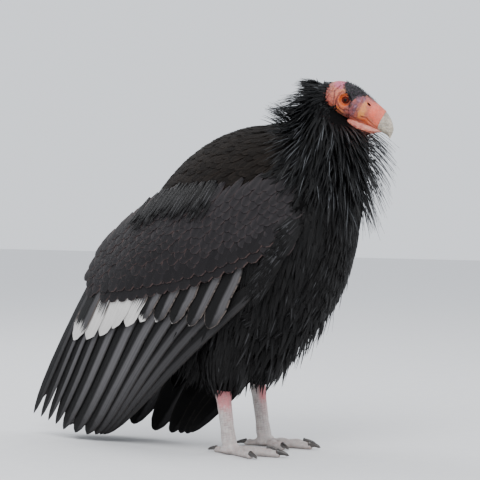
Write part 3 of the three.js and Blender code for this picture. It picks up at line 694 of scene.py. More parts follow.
# %% [markdown]
# ## The ruff
# Long lance-shaped plumes stand out all round the neck. Those of the nape point back and up, those
# of the throat forward and down, and those between hang down the sides of the neck. Many show the
# pale grey line of their shaft. The roots go round the neck in rings, and the way of each plume is
# worked out from its place, so that they part at the jaw and gather in clumps.

# %% Ruff plumes
RUFF_STATIONS = np.arange(9.3, 14.35, 0.24)
RUFF_SPACING = 6.0


def ruff_roots():
    a, b = [], []
    for station in RUFF_STATIONS:
        size_b = float(trunk.lengths(np.array([station]), np.array([90.0]))[1][0])
        count = int(360 * size_b / RUFF_SPACING)
        a.extend(station + 0.2 * (rng.random(count) - 0.5))
        b.extend((np.arange(count) + rng.random(count)) * 360 / count)
    return np.array(a), np.array(b)


def ruff():
    a, b = ruff_roots()
    clear = (a < 12.25) | (np.cos(np.radians(b)) > -0.5)
    a, b = a[clear], b[clear]
    point, out = trunk.at(a, b)
    nape = smooth(np.cos(np.radians(b)), 0.1, 0.8)
    front = smooth(-np.cos(np.radians(b)), 0.3, 0.9)
    hang = smooth(a + 0.4 * front, 12.4, 13.1)
    lie = unit(trunk.at(a - 0.2, b)[0] - point)
    lie = unit(lie * (1 - hang[:, None]) + np.array([-0.5, 0, -0.9]) * hang[:, None])
    side = unit(np.cross(out, lie))
    vary = rng.random((4, len(a))) - 0.5
    high = smooth(a, 12.4, 14.0)
    clump = np.sin(14 * np.radians(b) + 5 * a)
    forward = 1.15 * front * smooth(a, 9.2, 11.6) * (1 - hang)
    stand = 0.28 + 0.75 * nape + forward + 0.45 * vary[0] + 0.2 * clump
    beside_jaw = high * smooth(b, 75, 105)
    away = unit(out * stand[:, None] + lie * (0.85 - 0.4 * nape - 0.25 * front)[:, None]
                + side * (0.55 * vary[1] + 0.22 * np.cos(11 * np.radians(b) - 7 * a))[:, None]
                + beside_jaw[:, None] * np.array([-0.7, 0, -0.8]))
    length = 62 * (1 - 0.26 * nape - 0.16 * front + 0.45 * vary[2]) * (1 - 0.45 * high)
    width = 3.9 + 0.8 * front + 0.9 * nape + 2.2 * vary[3] + 1.2 * rng.random(len(a))
    bend = lie * (0.16 + 0.3 * front)[:, None] + side * (0.25 * vary[0])[:, None] + np.array([0, 0, -0.06])
    turned = unit(side + out * (0.5 * vary[1])[:, None])
    grey = np.where(rng.random(len(a)) < 0.24, rng.random(len(a)) ** 0.6, 0)
    look = looks(len(a), 0.35, 0.9, 0.1, grey)
    root = point + out * (swell(a, np.radians(b)) - ROOT_DEPTH)[:, None]
    return plumes("ruff", root, away, turned, length, width, bend, RUFF, look, trunk.unwrap(a, b))


coat(ruff(), "ruff_plumage")


# %% [markdown]
# ## Folded wings
# Four tiers cover a folded wing. The quills come from under everything and end at the tail. Greater
# coverts lie over their roots, with the white bar at their ends, then dark median coverts, then
# many rows of small rounded lesser coverts up to the shoulder.

# %% Flight feathers
QUILL_TIPS = (0, 0.1, 0.2, 0.3, 0.43, 0.6, 0.77, 0.9, 0.97, 1.02, 1.06)
QUILL_ROOTS = (0, 0.06, 0.12, 0.19, 0.28, 0.39, 0.51, 0.64, 0.76, 0.88, 1.0)
QUILL_GREY = (0.3, 0.75, 1, 0.85, 1, 1, 0.95, 0.7, 0.5, 0.42, 0.25)


def flight_feathers(side):
    field = wings[side]
    (root_rear, root_front), (tip_rear, tip_front) = FLIGHT_ROOTS[side], FLIGHT_TIPS[side]
    roots = np.array([np.add(root_rear, np.subtract(root_front, root_rear) * t) for t in QUILL_ROOTS])
    tips = np.array([np.add(tip_rear, np.subtract(tip_front, tip_rear) * t) for t in QUILL_TIPS])
    a, b = wing_place(roots[:, 0], roots[:, 1])
    end_a, end_b = wing_place(tips[:, 0], tips[:, 1])
    length = np.hypot(end_a - a, end_b - b)
    turn = np.degrees(np.arctan2(end_b - b, end_a - a))
    count = len(a)
    beside = np.hypot(np.gradient((a + end_a) / 2), np.gradient((b + end_b) / 2)) * 0.9
    width = np.clip(1.7 * beside, 26, 78)
    look = looks(count, 0.5, 0.4, 0.12, QUILL_GREY)
    rise = np.linspace(-3, -12, count)[:, None] * np.ones(len(QUILL))
    return lay(f"flight_{SIDE_NAME[side]}", field, a, b, length, width, FLIGHT, look, turn,
               rise=(rise, rise - 0.01), crown=0.02, shape=QUILL, thick=1.2, louver=-1.6, ragged=0.03)


# %% [markdown]
# The coverts end on two lines across the wing. The greater coverts are as striped as the quills and
# have their own share of white, which makes the bar. The smaller ones lie in a staggered grid, each
# a little out of line, and only those inside the wing's outline are kept.

# %% Coverts
GREATER_COUNT = 10
GREATER_LENGTH = 150.0
GREATER_WIDTH = 50
GREATER_WHITE = (0, 0.03, 0.05, 0.11, 0.25, 0.62, 0.74, 0.78, 0.7, 0.5)
MEDIAN_ROWS = ((0, 16, 0, 84), (1, 17, 26, 74))  # row, feathers, how far back its roots are, length
MEDIAN_WIDTH = 36


def on_line(rows, share):
    """A place a share of the way along a line of (p, q) points."""
    rows = np.array(rows, float)
    travelled = np.concatenate([[0], np.cumsum(np.hypot(*np.diff(rows, axis=0).T))])
    at = share * travelled[-1]
    return np.interp(at, travelled, rows[:, 0]), np.interp(at, travelled, rows[:, 1])


def greater_coverts(side):
    field = wings[side]
    share = np.linspace(0, 1, GREATER_COUNT)
    tip_p, tip_q = on_line(GREATER_TIPS, share)
    turn = -29 + 5 * share
    a = tip_p - GREATER_LENGTH * np.cos(np.radians(turn))
    b = tip_q - GREATER_LENGTH * np.sin(np.radians(turn))
    grey = np.interp(share, (0, 0.55, 0.8), (0.8, 1, 0.6))
    look = looks(GREATER_COUNT, 0.6, 0.4, 0.9, grey, GREATER_WHITE)
    rise = np.linspace(-4.0, 0.5, GREATER_COUNT)[:, None] * np.ones(len(BLADE))
    return lay(f"greater_coverts_{SIDE_NAME[side]}", field, a, b, GREATER_LENGTH, GREATER_WIDTH, FLIGHT, look,
               turn, rise=(rise - 2.5, rise + 1.0), crown=0.03, shape=BLADE, louver=-1.6, ragged=0.18)


def median_coverts(side):
    field = wings[side]
    pieces = []
    for row, count, back, reach in MEDIAN_ROWS:
        share = 0.97 * (np.arange(count) + 0.5 * row) / (count - 0.5)
        tip_p, tip_q = on_line(MEDIAN_TIPS, share)
        turn = -(27 - 3 * share) + 5 * (rng.random(count) - 0.5)
        a = tip_p - (reach + back) * np.cos(np.radians(turn))
        b = tip_q - (reach + back) * np.sin(np.radians(turn))
        pieces.append((a, b, np.full(count, float(reach)), turn, np.full(count, 1.4 * row)))
    a, b, length, turn, over = (np.concatenate(part) for part in zip(*pieces))
    look = looks(len(a), 0.25, 0.5, 0.9)
    rise = over[:, None] * np.ones(len(ROUND))
    return lay(f"median_coverts_{SIDE_NAME[side]}", field, a, b, length, MEDIAN_WIDTH, COVERT, look, turn,
               rise=(rise - 1.5, rise + 2.0), crown=0.05, thick=0.8, louver=-0.8, ragged=0.08)


def lesser_coverts(side):
    field = wings[side]
    a, b = np.meshgrid(np.arange(-20, 500, 15.0), np.arange(-110, 265, 16.0))
    a = a + 7.5 * (np.arange(a.shape[0]) % 2)[:, None]
    a, b = a.ravel() + 4 * (rng.random(a.size) - 0.5), b.ravel() + 5 * (rng.random(a.size) - 0.5)
    big = smooth(a, 20, 330)
    length = 38 + 20 * big + 6 * rng.random(len(a))
    width = 18 + 10 * big + 3 * rng.random(len(a))
    turn = -24 + 10 * (rng.random(len(a)) - 0.5) + 10 * smooth(a, 100, -10)
    end_a = a + length * np.cos(np.radians(turn))
    end_b = b + length * np.sin(np.radians(turn))
    top = np.interp(a, *zip(*WING_TOP[side])) + 1
    inside = (b < top) & (a > -14) & (end_b < np.interp(end_a, *zip(*WING_TOP[side])) + 3)
    front = np.interp(end_a, *zip(*WING_FRONT)) - 3
    median = np.interp(end_a, *zip(*MEDIAN_TIPS)) + 17
    low = np.where(end_a > 120, np.maximum(median, front), front)
    inside &= (end_a < 528) & (end_b > low) & (b > np.interp(a, *zip(*WING_FRONT)) - 2)
    a, b, length, width, turn, big = (v[inside] for v in (a, b, length, width, turn, big))
    edge = 0.3 + 0.7 * big * (0.4 + 0.6 * rng.random(len(a)))
    # Painted sheen: the coverts are made lighter towards the wrist, where the wing shows a sheen.
    look = looks(len(a), 0.95 - 0.6 * smooth(a, 60, 320), 0.5, edge)
    return lay(f"lesser_coverts_{SIDE_NAME[side]}", field, a, b, length, width, COVERT, look, turn,
               rise=(-1.0, 2.6), crown=0.05, thick=0.4, louver=-0.3, ragged=0.1)


# %% [markdown]
# Two sets of loose strands soften the wing's outline: one hangs from the shoulder over its top line,
# and the other falls from the breast over its front edge. They follow the wing's surface, lifted a
# few millimetres at the tips.

# %% Strands over the wing, and the finished wings
def shoulder_strands(side):
    """Long dark strands that hang over the top of the folded wing."""
    count = 90
    share = rng.random(count)
    a = 130 + 190 * share
    b = np.interp(a, *zip(*WING_TOP[side])) - 2 - 16 * rng.random(count)
    length = 54 + 34 * rng.random(count)
    turn = -30 - 12 * rng.random(count)
    grey = np.where(rng.random(count) < 0.5, 0.6 * rng.random(count), 0)
    look = looks(count, 0.5, 0.9, 0.3, grey)
    width = 9 + 4 * rng.random(count)
    return lay(f"shoulder_strands_{SIDE_NAME[side]}", wings[side], a, b, length, width, BREAST, look, turn,
               rise=(0.0, 5.5), crown=0.2, shape=LANCE, thick=0.7)


def flank_strands(side):
    """Breast feathers that fall over the front edge of the folded wing."""
    count = 170
    a = 16 + 124 * rng.random(count)
    b = np.interp(a, *zip(*WING_FRONT)) + 2 + 26 * rng.random(count)
    length = 44 + 22 * rng.random(count)
    turn = -2 - 26 * rng.random(count)
    grey = np.where(rng.random(count) < 0.4, 0.7 * rng.random(count), 0)
    look = looks(count, 0.5, 0.9, 0.3, grey)
    width = 8 + 4 * rng.random(count)
    return lay(f"flank_strands_{SIDE_NAME[side]}", wings[side], a, b, length, width, BREAST, look, turn,
               rise=(0.5, 5.0), crown=0.2, shape=LANCE, thick=0.7)


for side in SIDES:
    for piece in (flight_feathers(side), greater_coverts(side), median_coverts(side),
                  lesser_coverts(side), shoulder_strands(side), flank_strands(side)):
        coat(piece, "wing_plumage")
print("wings feathered")


# %% [markdown]
# ## Tail and thighs
# The closed tail is a narrow stack of long feathers under the wing tips. The thighs are hung with
# loose tufts that end just above the bare shank.

# %% Tail feathers and thigh tufts
TAIL_LENGTH = float(np.linalg.norm(TAIL_TIP - TAIL_ROOT))
TAIL_COUNT = 12


def tail_feathers():
    fan = np.linspace(-1, 1, TAIL_COUNT)
    a = np.full(TAIL_COUNT, 10.0)
    b = fan * (TAIL_HALF - 22)
    length = TAIL_LENGTH * (1 - 0.03 * np.abs(fan)) - 10
    look = looks(TAIL_COUNT, 0.4, 0.5, 0.2, 0.35)
    lift = (3 - 4.5 * np.abs(fan))[:, None] * np.ones(len(QUILL))
    return lay("tail_feathers", tail, a, b, length, 34, FLIGHT, look, fan * 1.2, rise=(lift, lift),
               crown=0.03, shape=QUILL, thick=1.2, ragged=0.03)


def thigh_tufts(side):
    count = 640
    turn = rng.random(count) * 2 * pi
    down = rng.random(count)
    z = 262 - 92 * down
    row = np.array([np.interp(-z, -THIGH[:, 1], THIGH[:, k]) for k in (0, 2, 4)])
    middle = np.stack([(row[0] + row[1]) / 2, np.full(count, side * LEG_SPACING / 2), z], 1)
    out = np.stack([np.cos(turn), np.sin(turn), 0 * turn], 1)
    reach = np.hypot((row[0] - row[1]) / 2 * np.cos(turn), row[2] * np.sin(turn))
    root = middle + out * (reach + 0.5)[:, None]
    across = np.stack([-np.sin(turn), np.cos(turn), 0 * turn], 1)
    vary = rng.random((3, count)) - 0.5
    stray = across * (0.3 * vary[0])[:, None]
    away = unit(np.array([-0.18, 0, -1]) + out * (0.30 - 0.22 * down)[:, None] + stray)
    length = 46 + 24 * vary[1] + 8
    bend = -out * (0.26 * down + 0.10)[:, None] + across * (0.2 * vary[2])[:, None]
    grey = np.where(rng.random(count) < 0.25, 0.5 * rng.random(count), 0)
    look = looks(count, 0.4, 0.9, 0.2, grey)
    unwrap = (turn / (2 * pi), z / 400)
    width = 8 + 4 * vary[0]
    return plumes(f"thigh_tufts_{SIDE_NAME[side]}", root, away, across, length, width, bend, BREAST, look,
                  unwrap, thick=0.9)


coat(tail_feathers(), "wing_plumage", "tail")
for side in SIDES:
    coat(thigh_tufts(side), "body_plumage")
print("tail and thighs feathered")


# %% [markdown]
# ## The bare head
# The head is skin over bone: an orange face with folds behind and under the eye, a purple-grey
# patch before it, a black bristly forehead, and a swollen coral cere before the horn. A dense ball
# is bent on to the skull's sections, and then pushed in and out by a height made of named features:
# the eye's opening and lids, creases along lines, the nostril, the ear, and fine wrinkles. Places
# are in the head's own frame, x forward of the eyes and z up.

# %% Head sections and creases
def sections(rows):
    """Rows of (x, top, bottom, half) as rows of top (x, z), bottom (x, z) and half width."""
    return np.array([[x, top, x, bottom, half] for x, top, bottom, half in rows], float)


SKULL = sections([
    (-60, -6, -6, 0), (-56, 5, -18, 12), (-49, 12, -27, 21), (-34, 26, -32, 29), (-15, 33, -34, 32),
    (3, 34, -33, 32), (15, 33, -33, 30), (26, 31, -32, 26), (40, 28, -31, 22), (57, 24, -29, 18.5),
    (73, 20, -27, 16), (88, 14.5, -25.5, 13.5), (90, -5, -5.5, 0),
])
HORN = np.array([
    [84, -5, 84, -5.2, 0], [84.4, 13.6, 84.4, -24.5, 12.8], [88.4, 14.6, 88.4, -25.4, 13.6],
    [97, 10, 95, -25.6, 11.6], [105, 4, 101, -25.6, 9.4], [112, -4, 107, -26, 7],
    [116.5, -12, 112, -27, 4.6], [118, -30, 118, -30, 0],
])
JAW = np.array([
    [20, -36, 20, -36, 0], [26, -30, 24, -43, 14], [46, -27, 46, -48, 18.5], [62, -25, 62, -46.5, 15.5],
    [78, -23.5, 77, -39.5, 12.5], [90, -23.5, 88, -31, 8.5], [96, -26, 96, -26, 0],
])
EYE_AT = (3.5, 20.5, 0)
EYE_RADIUS = 9.5
EYE_OPENING = (7.7, 7.0)
HEAD_PLACE = (
    Matrix.Translation((HEAD_AT.x + FORWARD, HEAD_AT.y, HEAD_AT.z))
    @ Matrix.Rotation(HEAD_YAW, 4, "Z") @ Matrix.Rotation(HEAD_PITCH, 4, "Y") @ Matrix.Scale(HEAD_SCALE, 4)
)
CREASES = [  # points (x, z), width, depth
    ([(-8, 13), (-13, 5), (-12, -10), (-8, -25)], 1.3, 2.0),
    ([(-20, 22), (-24, 6), (-19, -8), (-13, -26)], 1.2, 1.2),
    ([(-31, 16), (-30, 2), (-33, -12), (-25, -27)], 1.1, 0.9),
    ([(-40, 8), (-43, -6), (-36, -18)], 1.1, 0.8),
    ([(-24, 6), (-32, 1), (-41, 2)], 1.0, 0.7),
    ([(-9, -12), (-1, -20), (9, -21), (17, -17)], 1.2, 1.3),
    ([(-7, -23), (3, -28), (14, -29), (24, -24)], 1.3, 1.4),
    ([(15, -6), (19, -14), (21, -24), (21, -31)], 1.4, 1.2),
    ([(-7, 12), (1, 16), (11, 15), (17, 9)], 1.3, 1.0),
    ([(33, 16), (36, 4), (35, -10), (38, -20)], 1.6, 0.8),
    ([(46, -16), (56, -14), (68, -19), (84, -22)], 1.3, 1.2),
    ([(26, -24), (38, -25), (50, -24), (60, -23)], 1.2, 1.0),
    ([(52, 24), (58, 12), (56, 2)], 1.6, 0.5),
]


def from_line(x, z, line):
    """Distance of places (x, z) from a line of points."""
    nearest = np.full(x.shape, 1e9)
    for (x0, z0), (x1, z1) in zip(line, line[1:]):
        dx, dz = x1 - x0, z1 - z0
        t = np.clip(((x - x0) * dx + (z - z0) * dz) / (dx * dx + dz * dz), 0, 1)
        nearest = np.minimum(nearest, np.hypot(x - x0 - t * dx, z - z0 - t * dz))
    return nearest


# %% [markdown]
# Skin needs lumps, warps and folds that are the same from run to run, so noise is a sum of slow
# waves in fixed directions. The folds behind the eye are a sine bent by that noise. Every feature is
# a soft bump or groove at its own place, added up into one height.

# %% Folds and the height of the face
waves = np.random.default_rng(3)
WAVE_COUNT = 24
WAVE_WAYS = unit(waves.normal(size=(WAVE_COUNT, 3)))
WAVE_SHIFTS = waves.random(WAVE_COUNT) * 2 * pi


def ripple(points, size):
    """Smooth noise of about -1 to 1, with lumps of a given size."""
    phase = points @ (WAVE_WAYS.T * (2 * pi / size)) + WAVE_SHIFTS
    return np.sin(phase + 1.5 * np.sin(phase[:, ::-1] * 0.37)).sum(1) / np.sqrt(WAVE_COUNT) * 0.9


def fold_lines(points):
    """Uneven folds that run down the face, 0 in their grooves."""
    x, z = points[:, 0], points[:, 2]
    return np.abs(np.sin(0.42 * x + 0.14 * z + 2.2 * ripple(points, 19) + 1.1 * ripple(points, 8)))


def head_height(points):
    """How far the features push the head's surface out, at places in the head's frame."""
    x, z = points[:, 0], points[:, 2]
    around_eye = np.hypot(x - EYE_AT[0], z - EYE_AT[2])
    warp = ripple(points, 14) * 1.4
    height = np.zeros(len(points))
    on_side = smooth(np.abs(points[:, 1]), 6, 13)
    for line, width, depth in CREASES:
        away = from_line(x + warp * 0.6, z - warp * 0.4, line)
        height -= on_side * depth * np.exp(-((away / width) ** 2))
        height += on_side * 0.35 * depth * np.exp(-(((away - 2.6 * width) / (1.6 * width)) ** 2))
    wrinkled = smooth(x, 34, 8) * smooth(around_eye, 8, 12)
    height += wrinkled * on_side * 0.55 * (fold_lines(points) - 0.5)
    height += wrinkled * 0.28 * np.abs(ripple(points, 5.0)) + 0.12 * ripple(points, 2.6)
    height += 1.3 * np.exp(-((np.hypot(x - 5, z - 17) / 7) ** 2)) * on_side
    height += 1.6 * np.exp(-((np.hypot(x - 66, z - 4) / 12) ** 2)) * on_side
    height += 1.5 * np.exp(-((np.hypot(x - 44, z + 6) / 8) ** 2)) * on_side
    height -= 2.2 * np.exp(-((np.hypot(x + 27, z + 10) / 4.5) ** 2)) * on_side
    height -= 0.9 * np.exp(-(((x - 86.5) / 1.2) ** 2))
    return height


# %% [markdown]
# The head is dense enough to carry its own folds, because a visible fold has to be in the mesh and
# not only in the finish. Round the eye the skin is drawn on to the eyeball, with a raised lid and a
# gap inside it, and the nostril is a slit pushed in through the cere.

# %% The head's surface
EYE_REACH = (14.5, 8.6)
NOSTRIL_AT = (49, 13.5)
NOSTRIL_TILT = 0.31


def skull_out(station, turn):
    """A point of the skull and the way out of it."""
    point = section_point(SKULL, station, turn)
    ahead = section_point(SKULL, station + 0.02, turn) - section_point(SKULL, station - 0.02, turn)
    beside = section_point(SKULL, station, turn + 0.01) - section_point(SKULL, station, turn - 0.01)
    out = unit(np.cross(ahead, beside))
    return point, out * np.sign((out * (point - [15, 0, 0])).sum(1))[:, None]


def head_surface():
    bm = bmesh.new()
    verts, station, turn = ball_loft(bm, SKULL, 300, 280)
    base, out = skull_out(station, turn)
    points = base + out * (head_height(base) * smooth(base[:, 0], -58, -50))[:, None]
    x, z = base[:, 0], base[:, 2]
    side = np.sign(base[:, 1])
    ring = np.hypot((x - EYE_AT[0]) / EYE_OPENING[0], (z - EYE_AT[2]) / EYE_OPENING[1])
    away = np.hypot(x - EYE_AT[0], z - EYE_AT[2])
    ball = EYE_AT[1] + np.sqrt(np.maximum(EYE_RADIUS**2 - away**2, 0.0))
    lid = ball + 0.7 + 1.5 * np.exp(-(((ring - 1.28) / 0.22) ** 2)) - 5.0 * smooth(ring, 1.06, 0.93)
    share = smooth(away, *EYE_REACH) * (np.abs(base[:, 1]) > 12)
    points[:, 1] = points[:, 1] * (1 - share) + side * lid * share
    nx, nz = x - NOSTRIL_AT[0], z - NOSTRIL_AT[1]
    tilt_cos, tilt_sin = cos(NOSTRIL_TILT), sin(NOSTRIL_TILT)
    slit = np.hypot(nx * tilt_cos - nz * tilt_sin, 2.6 * (nx * tilt_sin + nz * tilt_cos))
    pit = smooth(slit, 5.2, 3.6) * (np.abs(base[:, 1]) > 4)
    points[:, 1] = points[:, 1] - side * pit * np.maximum(np.abs(points[:, 1]) - 2.5, 0)
    for vert, point in zip(verts, points.tolist()):
        vert.co = (HEAD_PLACE @ Vector(point)) * MM
    return bm, base, pit, ring


# %% [markdown]
# The colours of the face lie where they lie on the living bird, so they are laid on the mesh as a
# colour attribute, blob by blob, with painted shade in the creases, the fold grooves and the nostril,
# and a painted highlight above the eye. The material breaks their edges up and adds pores.

# %% Colours of the face
SALMON = (0.56, 0.185, 0.11)
FACE_BLOBS = [  # x, z, reach in x, reach in z, colour, share
    (-28, 8, 16, 18, (0.62, 0.25, 0.155), 0.8),
    (-34, -18, 16, 12, (0.36, 0.10, 0.07), 0.7),
    (-43, 2, 12, 24, (0.16, 0.07, 0.06), 0.85),
    (-24, 22, 13, 10, (0.56, 0.18, 0.31), 0.95),
    (-8, 31, 15, 8, (0.46, 0.17, 0.30), 0.95),
    # Paler yellow-orange above the eye: the orange skin there, lightened by a painted highlight.
    (-6, 14, 9, 7, (0.74, 0.38, 0.19), 0.9),
    (1, -1, 15, 16, (0.78, 0.20, 0.022), 1.0),
    (-2, -18, 10, 14, (0.76, 0.24, 0.04), 0.95),
    (5, -27, 10, 7, (0.58, 0.24, 0.11), 0.7),
    (16, -31, 12, 8, (0.56, 0.21, 0.15), 0.8),
    (13, -14, 4, 10, (0.26, 0.09, 0.09), 0.6),
    (26, -6, 9, 23, (0.15, 0.07, 0.10), 0.97),
    (30, 16, 13, 10, (0.19, 0.085, 0.135), 0.97),
    (21, -24, 8, 7, (0.19, 0.09, 0.11), 0.7),
    (43, -5, 11, 17, (0.78, 0.36, 0.11), 1.0),
    (42, 9, 6, 6, (0.78, 0.36, 0.13), 0.8),
    (48, 23, 12, 5, (0.46, 0.15, 0.17), 0.7),
    (70, 4, 17, 17, (0.87, 0.20, 0.115), 1.0),
    (60, 16, 12, 8, (0.82, 0.22, 0.16), 0.8),
    (80, 0, 9, 22, (0.85, 0.22, 0.135), 1.0),
    (57, -20, 13, 7, (0.64, 0.16, 0.025), 0.95),
    (72, -20, 12, 4, (0.78, 0.25, 0.14), 0.7),
]
# Painted shade: the dark red laid along the creases, stronger where a crease is deeper.
CREASE_SHADE_RED = (0.16, 0.035, 0.04)
# Painted shade: the dark red laid in the grooves of the folds behind the eye.
FOLD_SHADE_RED = (0.30, 0.04, 0.04)
MOTTLE = (0.42, 0.22, 0.30)
LID_RED = (0.10, 0.018, 0.012)
BLACK_EDGE = [  # lower edge of the black forehead, (x, z)
    (-24, 32), (-10, 19), (-1, 13), (12, 1), (16, -3), (20, 12), (27, 19), (37, 25), (50, 24.5),
    (62, 23), (70, 30),
]


def tinted(colour, tint, weight):
    """A colour mixed towards a tint, by a weight from 0 to 1 at each place."""
    weight = weight[:, None]
    return np.asarray(colour) * (1 - weight) + np.asarray(tint) * weight


def face_colours(points, pit, ring):
    """Colour at each place of the head, and how black and bristly it is."""
    x, z = points[:, 0], points[:, 2]
    warp_x, warp_z = ripple(points, 9) * 1.6, ripple(points[:, ::-1], 9) * 1.6
    colour = np.tile(np.array(SALMON), (len(points), 1))
    for cx, cz, rx, rz, tint, share in FACE_BLOBS:
        away = np.hypot((x + warp_x - cx) / rx, (z + warp_z - cz) / rz)
        colour = tinted(colour, tint, share * smooth(away, 1.1, 0.55))
    side = np.abs(points[:, 1])
    # Painted shade along the creases, by their depth.
    for line, width, depth in CREASES:
        away = from_line(x + warp_x * 0.4, z, line)
        weight = 0.75 * min(depth, 1.2) * np.exp(-((away / (1.3 * width)) ** 2))
        colour = tinted(colour, CREASE_SHADE_RED, weight * smooth(side, 5, 12) * smooth(x, 60, 40))
    # Painted shade in the grooves of the folds behind the eye.
    fold_shade = smooth(fold_lines(points), 0.3, 0.0) * smooth(x, 10, -12) * smooth(ripple(points, 12), -0.6, 0.6)
    colour = tinted(colour, FOLD_SHADE_RED, 0.65 * fold_shade)
    mottle = smooth(ripple(points, 6.5), 0.1, 0.9) * np.exp(-((np.hypot((x - 27) / 13, (z - 2) / 26)) ** 4))
    colour = tinted(colour, MOTTLE, 0.7 * mottle)
    edge = np.interp(x, *zip(*BLACK_EDGE))
    black = smooth(z + 1.6 * ripple(points, 5) + 0.8 * ripple(points, 2.4), edge - 3, edge + 4)
    black = black * smooth(x + warp_x, -20, -13) * smooth(x + warp_x, 68, 60)
    before_eye = np.hypot((x - 16.5) / 4.5, (z + 3) / 9) + 0.15 * warp_x
    black = np.maximum(black, 0.75 * smooth(before_eye, 1.1, 0.6))
    cloud = smooth(ripple(points, 7), 0.2, 1.0)[:, None]
    smoke = np.array((0.022, 0.019, 0.024)) + np.array((0.05, 0.025, 0.045)) * cloud
    colour = tinted(colour, smoke, black)
    colour = tinted(colour, LID_RED, 0.8 * smooth(ring, 1.22, 1.05))
    # Painted shade: the nostril's pit is made near black.
    colour = tinted(colour, 0.0, 0.95 * pit)
    return np.clip(colour, 0, 1) ** 1.25, black


def paint(mesh, colours, bristly=None):
    """Lays colours on a mesh, with how bristly each place is as their fourth number."""
    bristly = np.ones(len(colours)) if bristly is None else bristly
    layer = mesh.attributes.new("paint", "FLOAT_COLOR", "POINT")
    layer.data.foreach_set("color", np.hstack([colours, bristly[:, None]]).ravel())


# %% [markdown]
# Bare skin is one material for the head, the jaw and the legs. Light enters it a little way, which
# keeps it from looking like paint, and its bump is a cell pattern for pores with fine noise over it.

# %% Bare skin
def skin_material(name, pore=900.0, roughness=0.42, blood=(0.45, 0.10, 0.08), share=0.5):
    """Bare skin: the laid colour, broken up by noise, with pores; bristly places keep the laid colour."""
    m = Nodes(name)
    laid = m.add("Attribute", attribute_name="paint", attribute_type="GEOMETRY")
    bristly = laid.outputs["Alpha"]
    here = m.here()
    cloud = m.noise(here, 110.0, 4.0)
    speck = m.noise(here, 420.0, 3.0)
    cells = m.add("TexVoronoi", {"Scale": pore, "Vector": here}, feature="DISTANCE_TO_EDGE")
    base = m.mix(m.ramp(cloud, 0.35, 0.7), laid.outputs["Color"], m.mix(share, laid.outputs["Color"], blood))
    lighter = m.mix(0.6, base, (0.8, 0.55, 0.45))
    base = m.mix(m.math("MULTIPLY", m.ramp(speck, 0.5, 0.75), 0.35), base, lighter)
    base = m.mix(m.ramp(bristly, 0.2, 0.9), base, laid.outputs["Color"])
    pores = m.math("MULTIPLY", m.ramp(cells.outputs["Distance"], 0.0, 0.25), 0.6)
    height = m.math("ADD", pores, m.math("MULTIPLY", speck, 1.2))
    shine = m.ramp(cloud, 0.2, 0.8, (roughness - 0.08, roughness + 0.12))
    return m.finish(Base_Color=base, Roughness=shine, Normal=m.bump(height, 0.45, 0.0006),
                    Subsurface_Weight=0.12, Subsurface_Radius=(0.004, 0.0015, 0.001), Subsurface_Scale=1.0,
                    Specular_IOR_Level=0.45)


FACE = skin_material("FaceSkin")


def make_head():
    bm, base, pit, ring = head_surface()
    head = object_from(bm, "head_skin", FACE)
    colours, black = face_colours(base, pit, ring)
    paint(head.data, colours, black)
    return head


# %% [markdown]
# Two sets of plumes grow from the head itself. Short ones stand from its back and underside, so that
# no seam shows between the skin and the ruff, and fine bristles lie back over the black forehead.

# %% Plumes and bristles of the head
def on_head(points):
    """Places in the head's frame, as places measured from the legs."""
    turn = np.array(HEAD_PLACE.to_3x3())
    return points @ turn.T + np.array(HEAD_PLACE.translation) - [FORWARD, 0, 0]


def nape_plumes():
    """Short plumes that grow from the back and the underside of the head, over the ruff."""
    count = 620
    station = 0.4 + 2.3 * rng.random(count)
    turn = 2 * pi * rng.random(count)
    under = smooth(-np.cos(turn), 0.0, 0.7)
    station = station + 2.6 * under * rng.random(count)
    point, out = skull_out(station, turn)
    vary = rng.random((4, count)) - 0.5
    droop = under[:, None] * np.array([-0.3, 0, -0.5])
    way = unit(out * (0.8 + 0.4 * vary[0])[:, None] + np.array([-0.95, 0, -0.05]) + droop)
    over = smooth(np.cos(turn), 0.2, 0.9) * smooth(station, 0.8, 2.0)
    way = unit(way - over[:, None] * np.array([0, 0, 0.55]))
    root, tip = on_head(point - out * 2), on_head(point + way * 20)
    away = unit(tip - root + np.array([0, 0, -2.0]))
    across = unit(np.cross(away, on_head(point + out) - on_head(point)) + 0.3 * vary[1][:, None])
    length = (40 + 24 * vary[2]) * (1 - 0.55 * smooth(station, 1.4, 2.6) * (1 - under))
    bend = np.array([-0.15, 0, -0.2]) + across * (0.3 * vary[3])[:, None]
    grey = np.where(rng.random(count) < 0.25, 0.8 * rng.random(count), 0)
    look = looks(count, 0.4, 0.9, 0.1, grey)
    unwrap = (0.95 + 0.01 * station, turn / (2 * pi))
    return plumes("nape_plumes", root, away, across, length, 3.6 + 1.6 * vary[0], bend, RUFF, look, unwrap,
                  thick=0.6)


def forehead_bristles():
    """Fine black bristles that lie back over the dark patch of the forehead."""
    count = 1500
    station = 3.3 + 6.2 * rng.random(count)
    turn = (rng.random(count) - 0.5) * 2.6
    point, out = skull_out(station, turn)
    _, black = face_colours(point, np.zeros(count), np.full(count, 9.0))
    keep = black > 0.55
    point, out, turn = point[keep], out[keep], turn[keep]
    count = len(point)
    vary = rng.random((3, count)) - 0.5
    point = point + out * head_height(point)[:, None]
    stray = np.stack([0 * turn, 0.5 * vary[1], 0 * turn], 1)
    way = out * (0.45 + 0.3 * vary[0])[:, None] + np.array([-0.8, 0, 0]) + stray
    root, tip = on_head(point - out * 0.5), on_head(point + way)
    away = unit(tip - root)
    across = unit(np.cross(away, on_head(point + out) - on_head(point)))
    look = looks(count, 0.6, 0.9, 0.1, 0.5 * rng.random(count))
    return plumes("forehead_bristles", root, away, across, 4.2 + 2.4 * vary[2], np.full(count, 0.55),
                  across * (0.3 * vary[1])[:, None], RUFF, look, (0.95 + 0 * turn, turn / 7 + 0.5), thick=0.3)


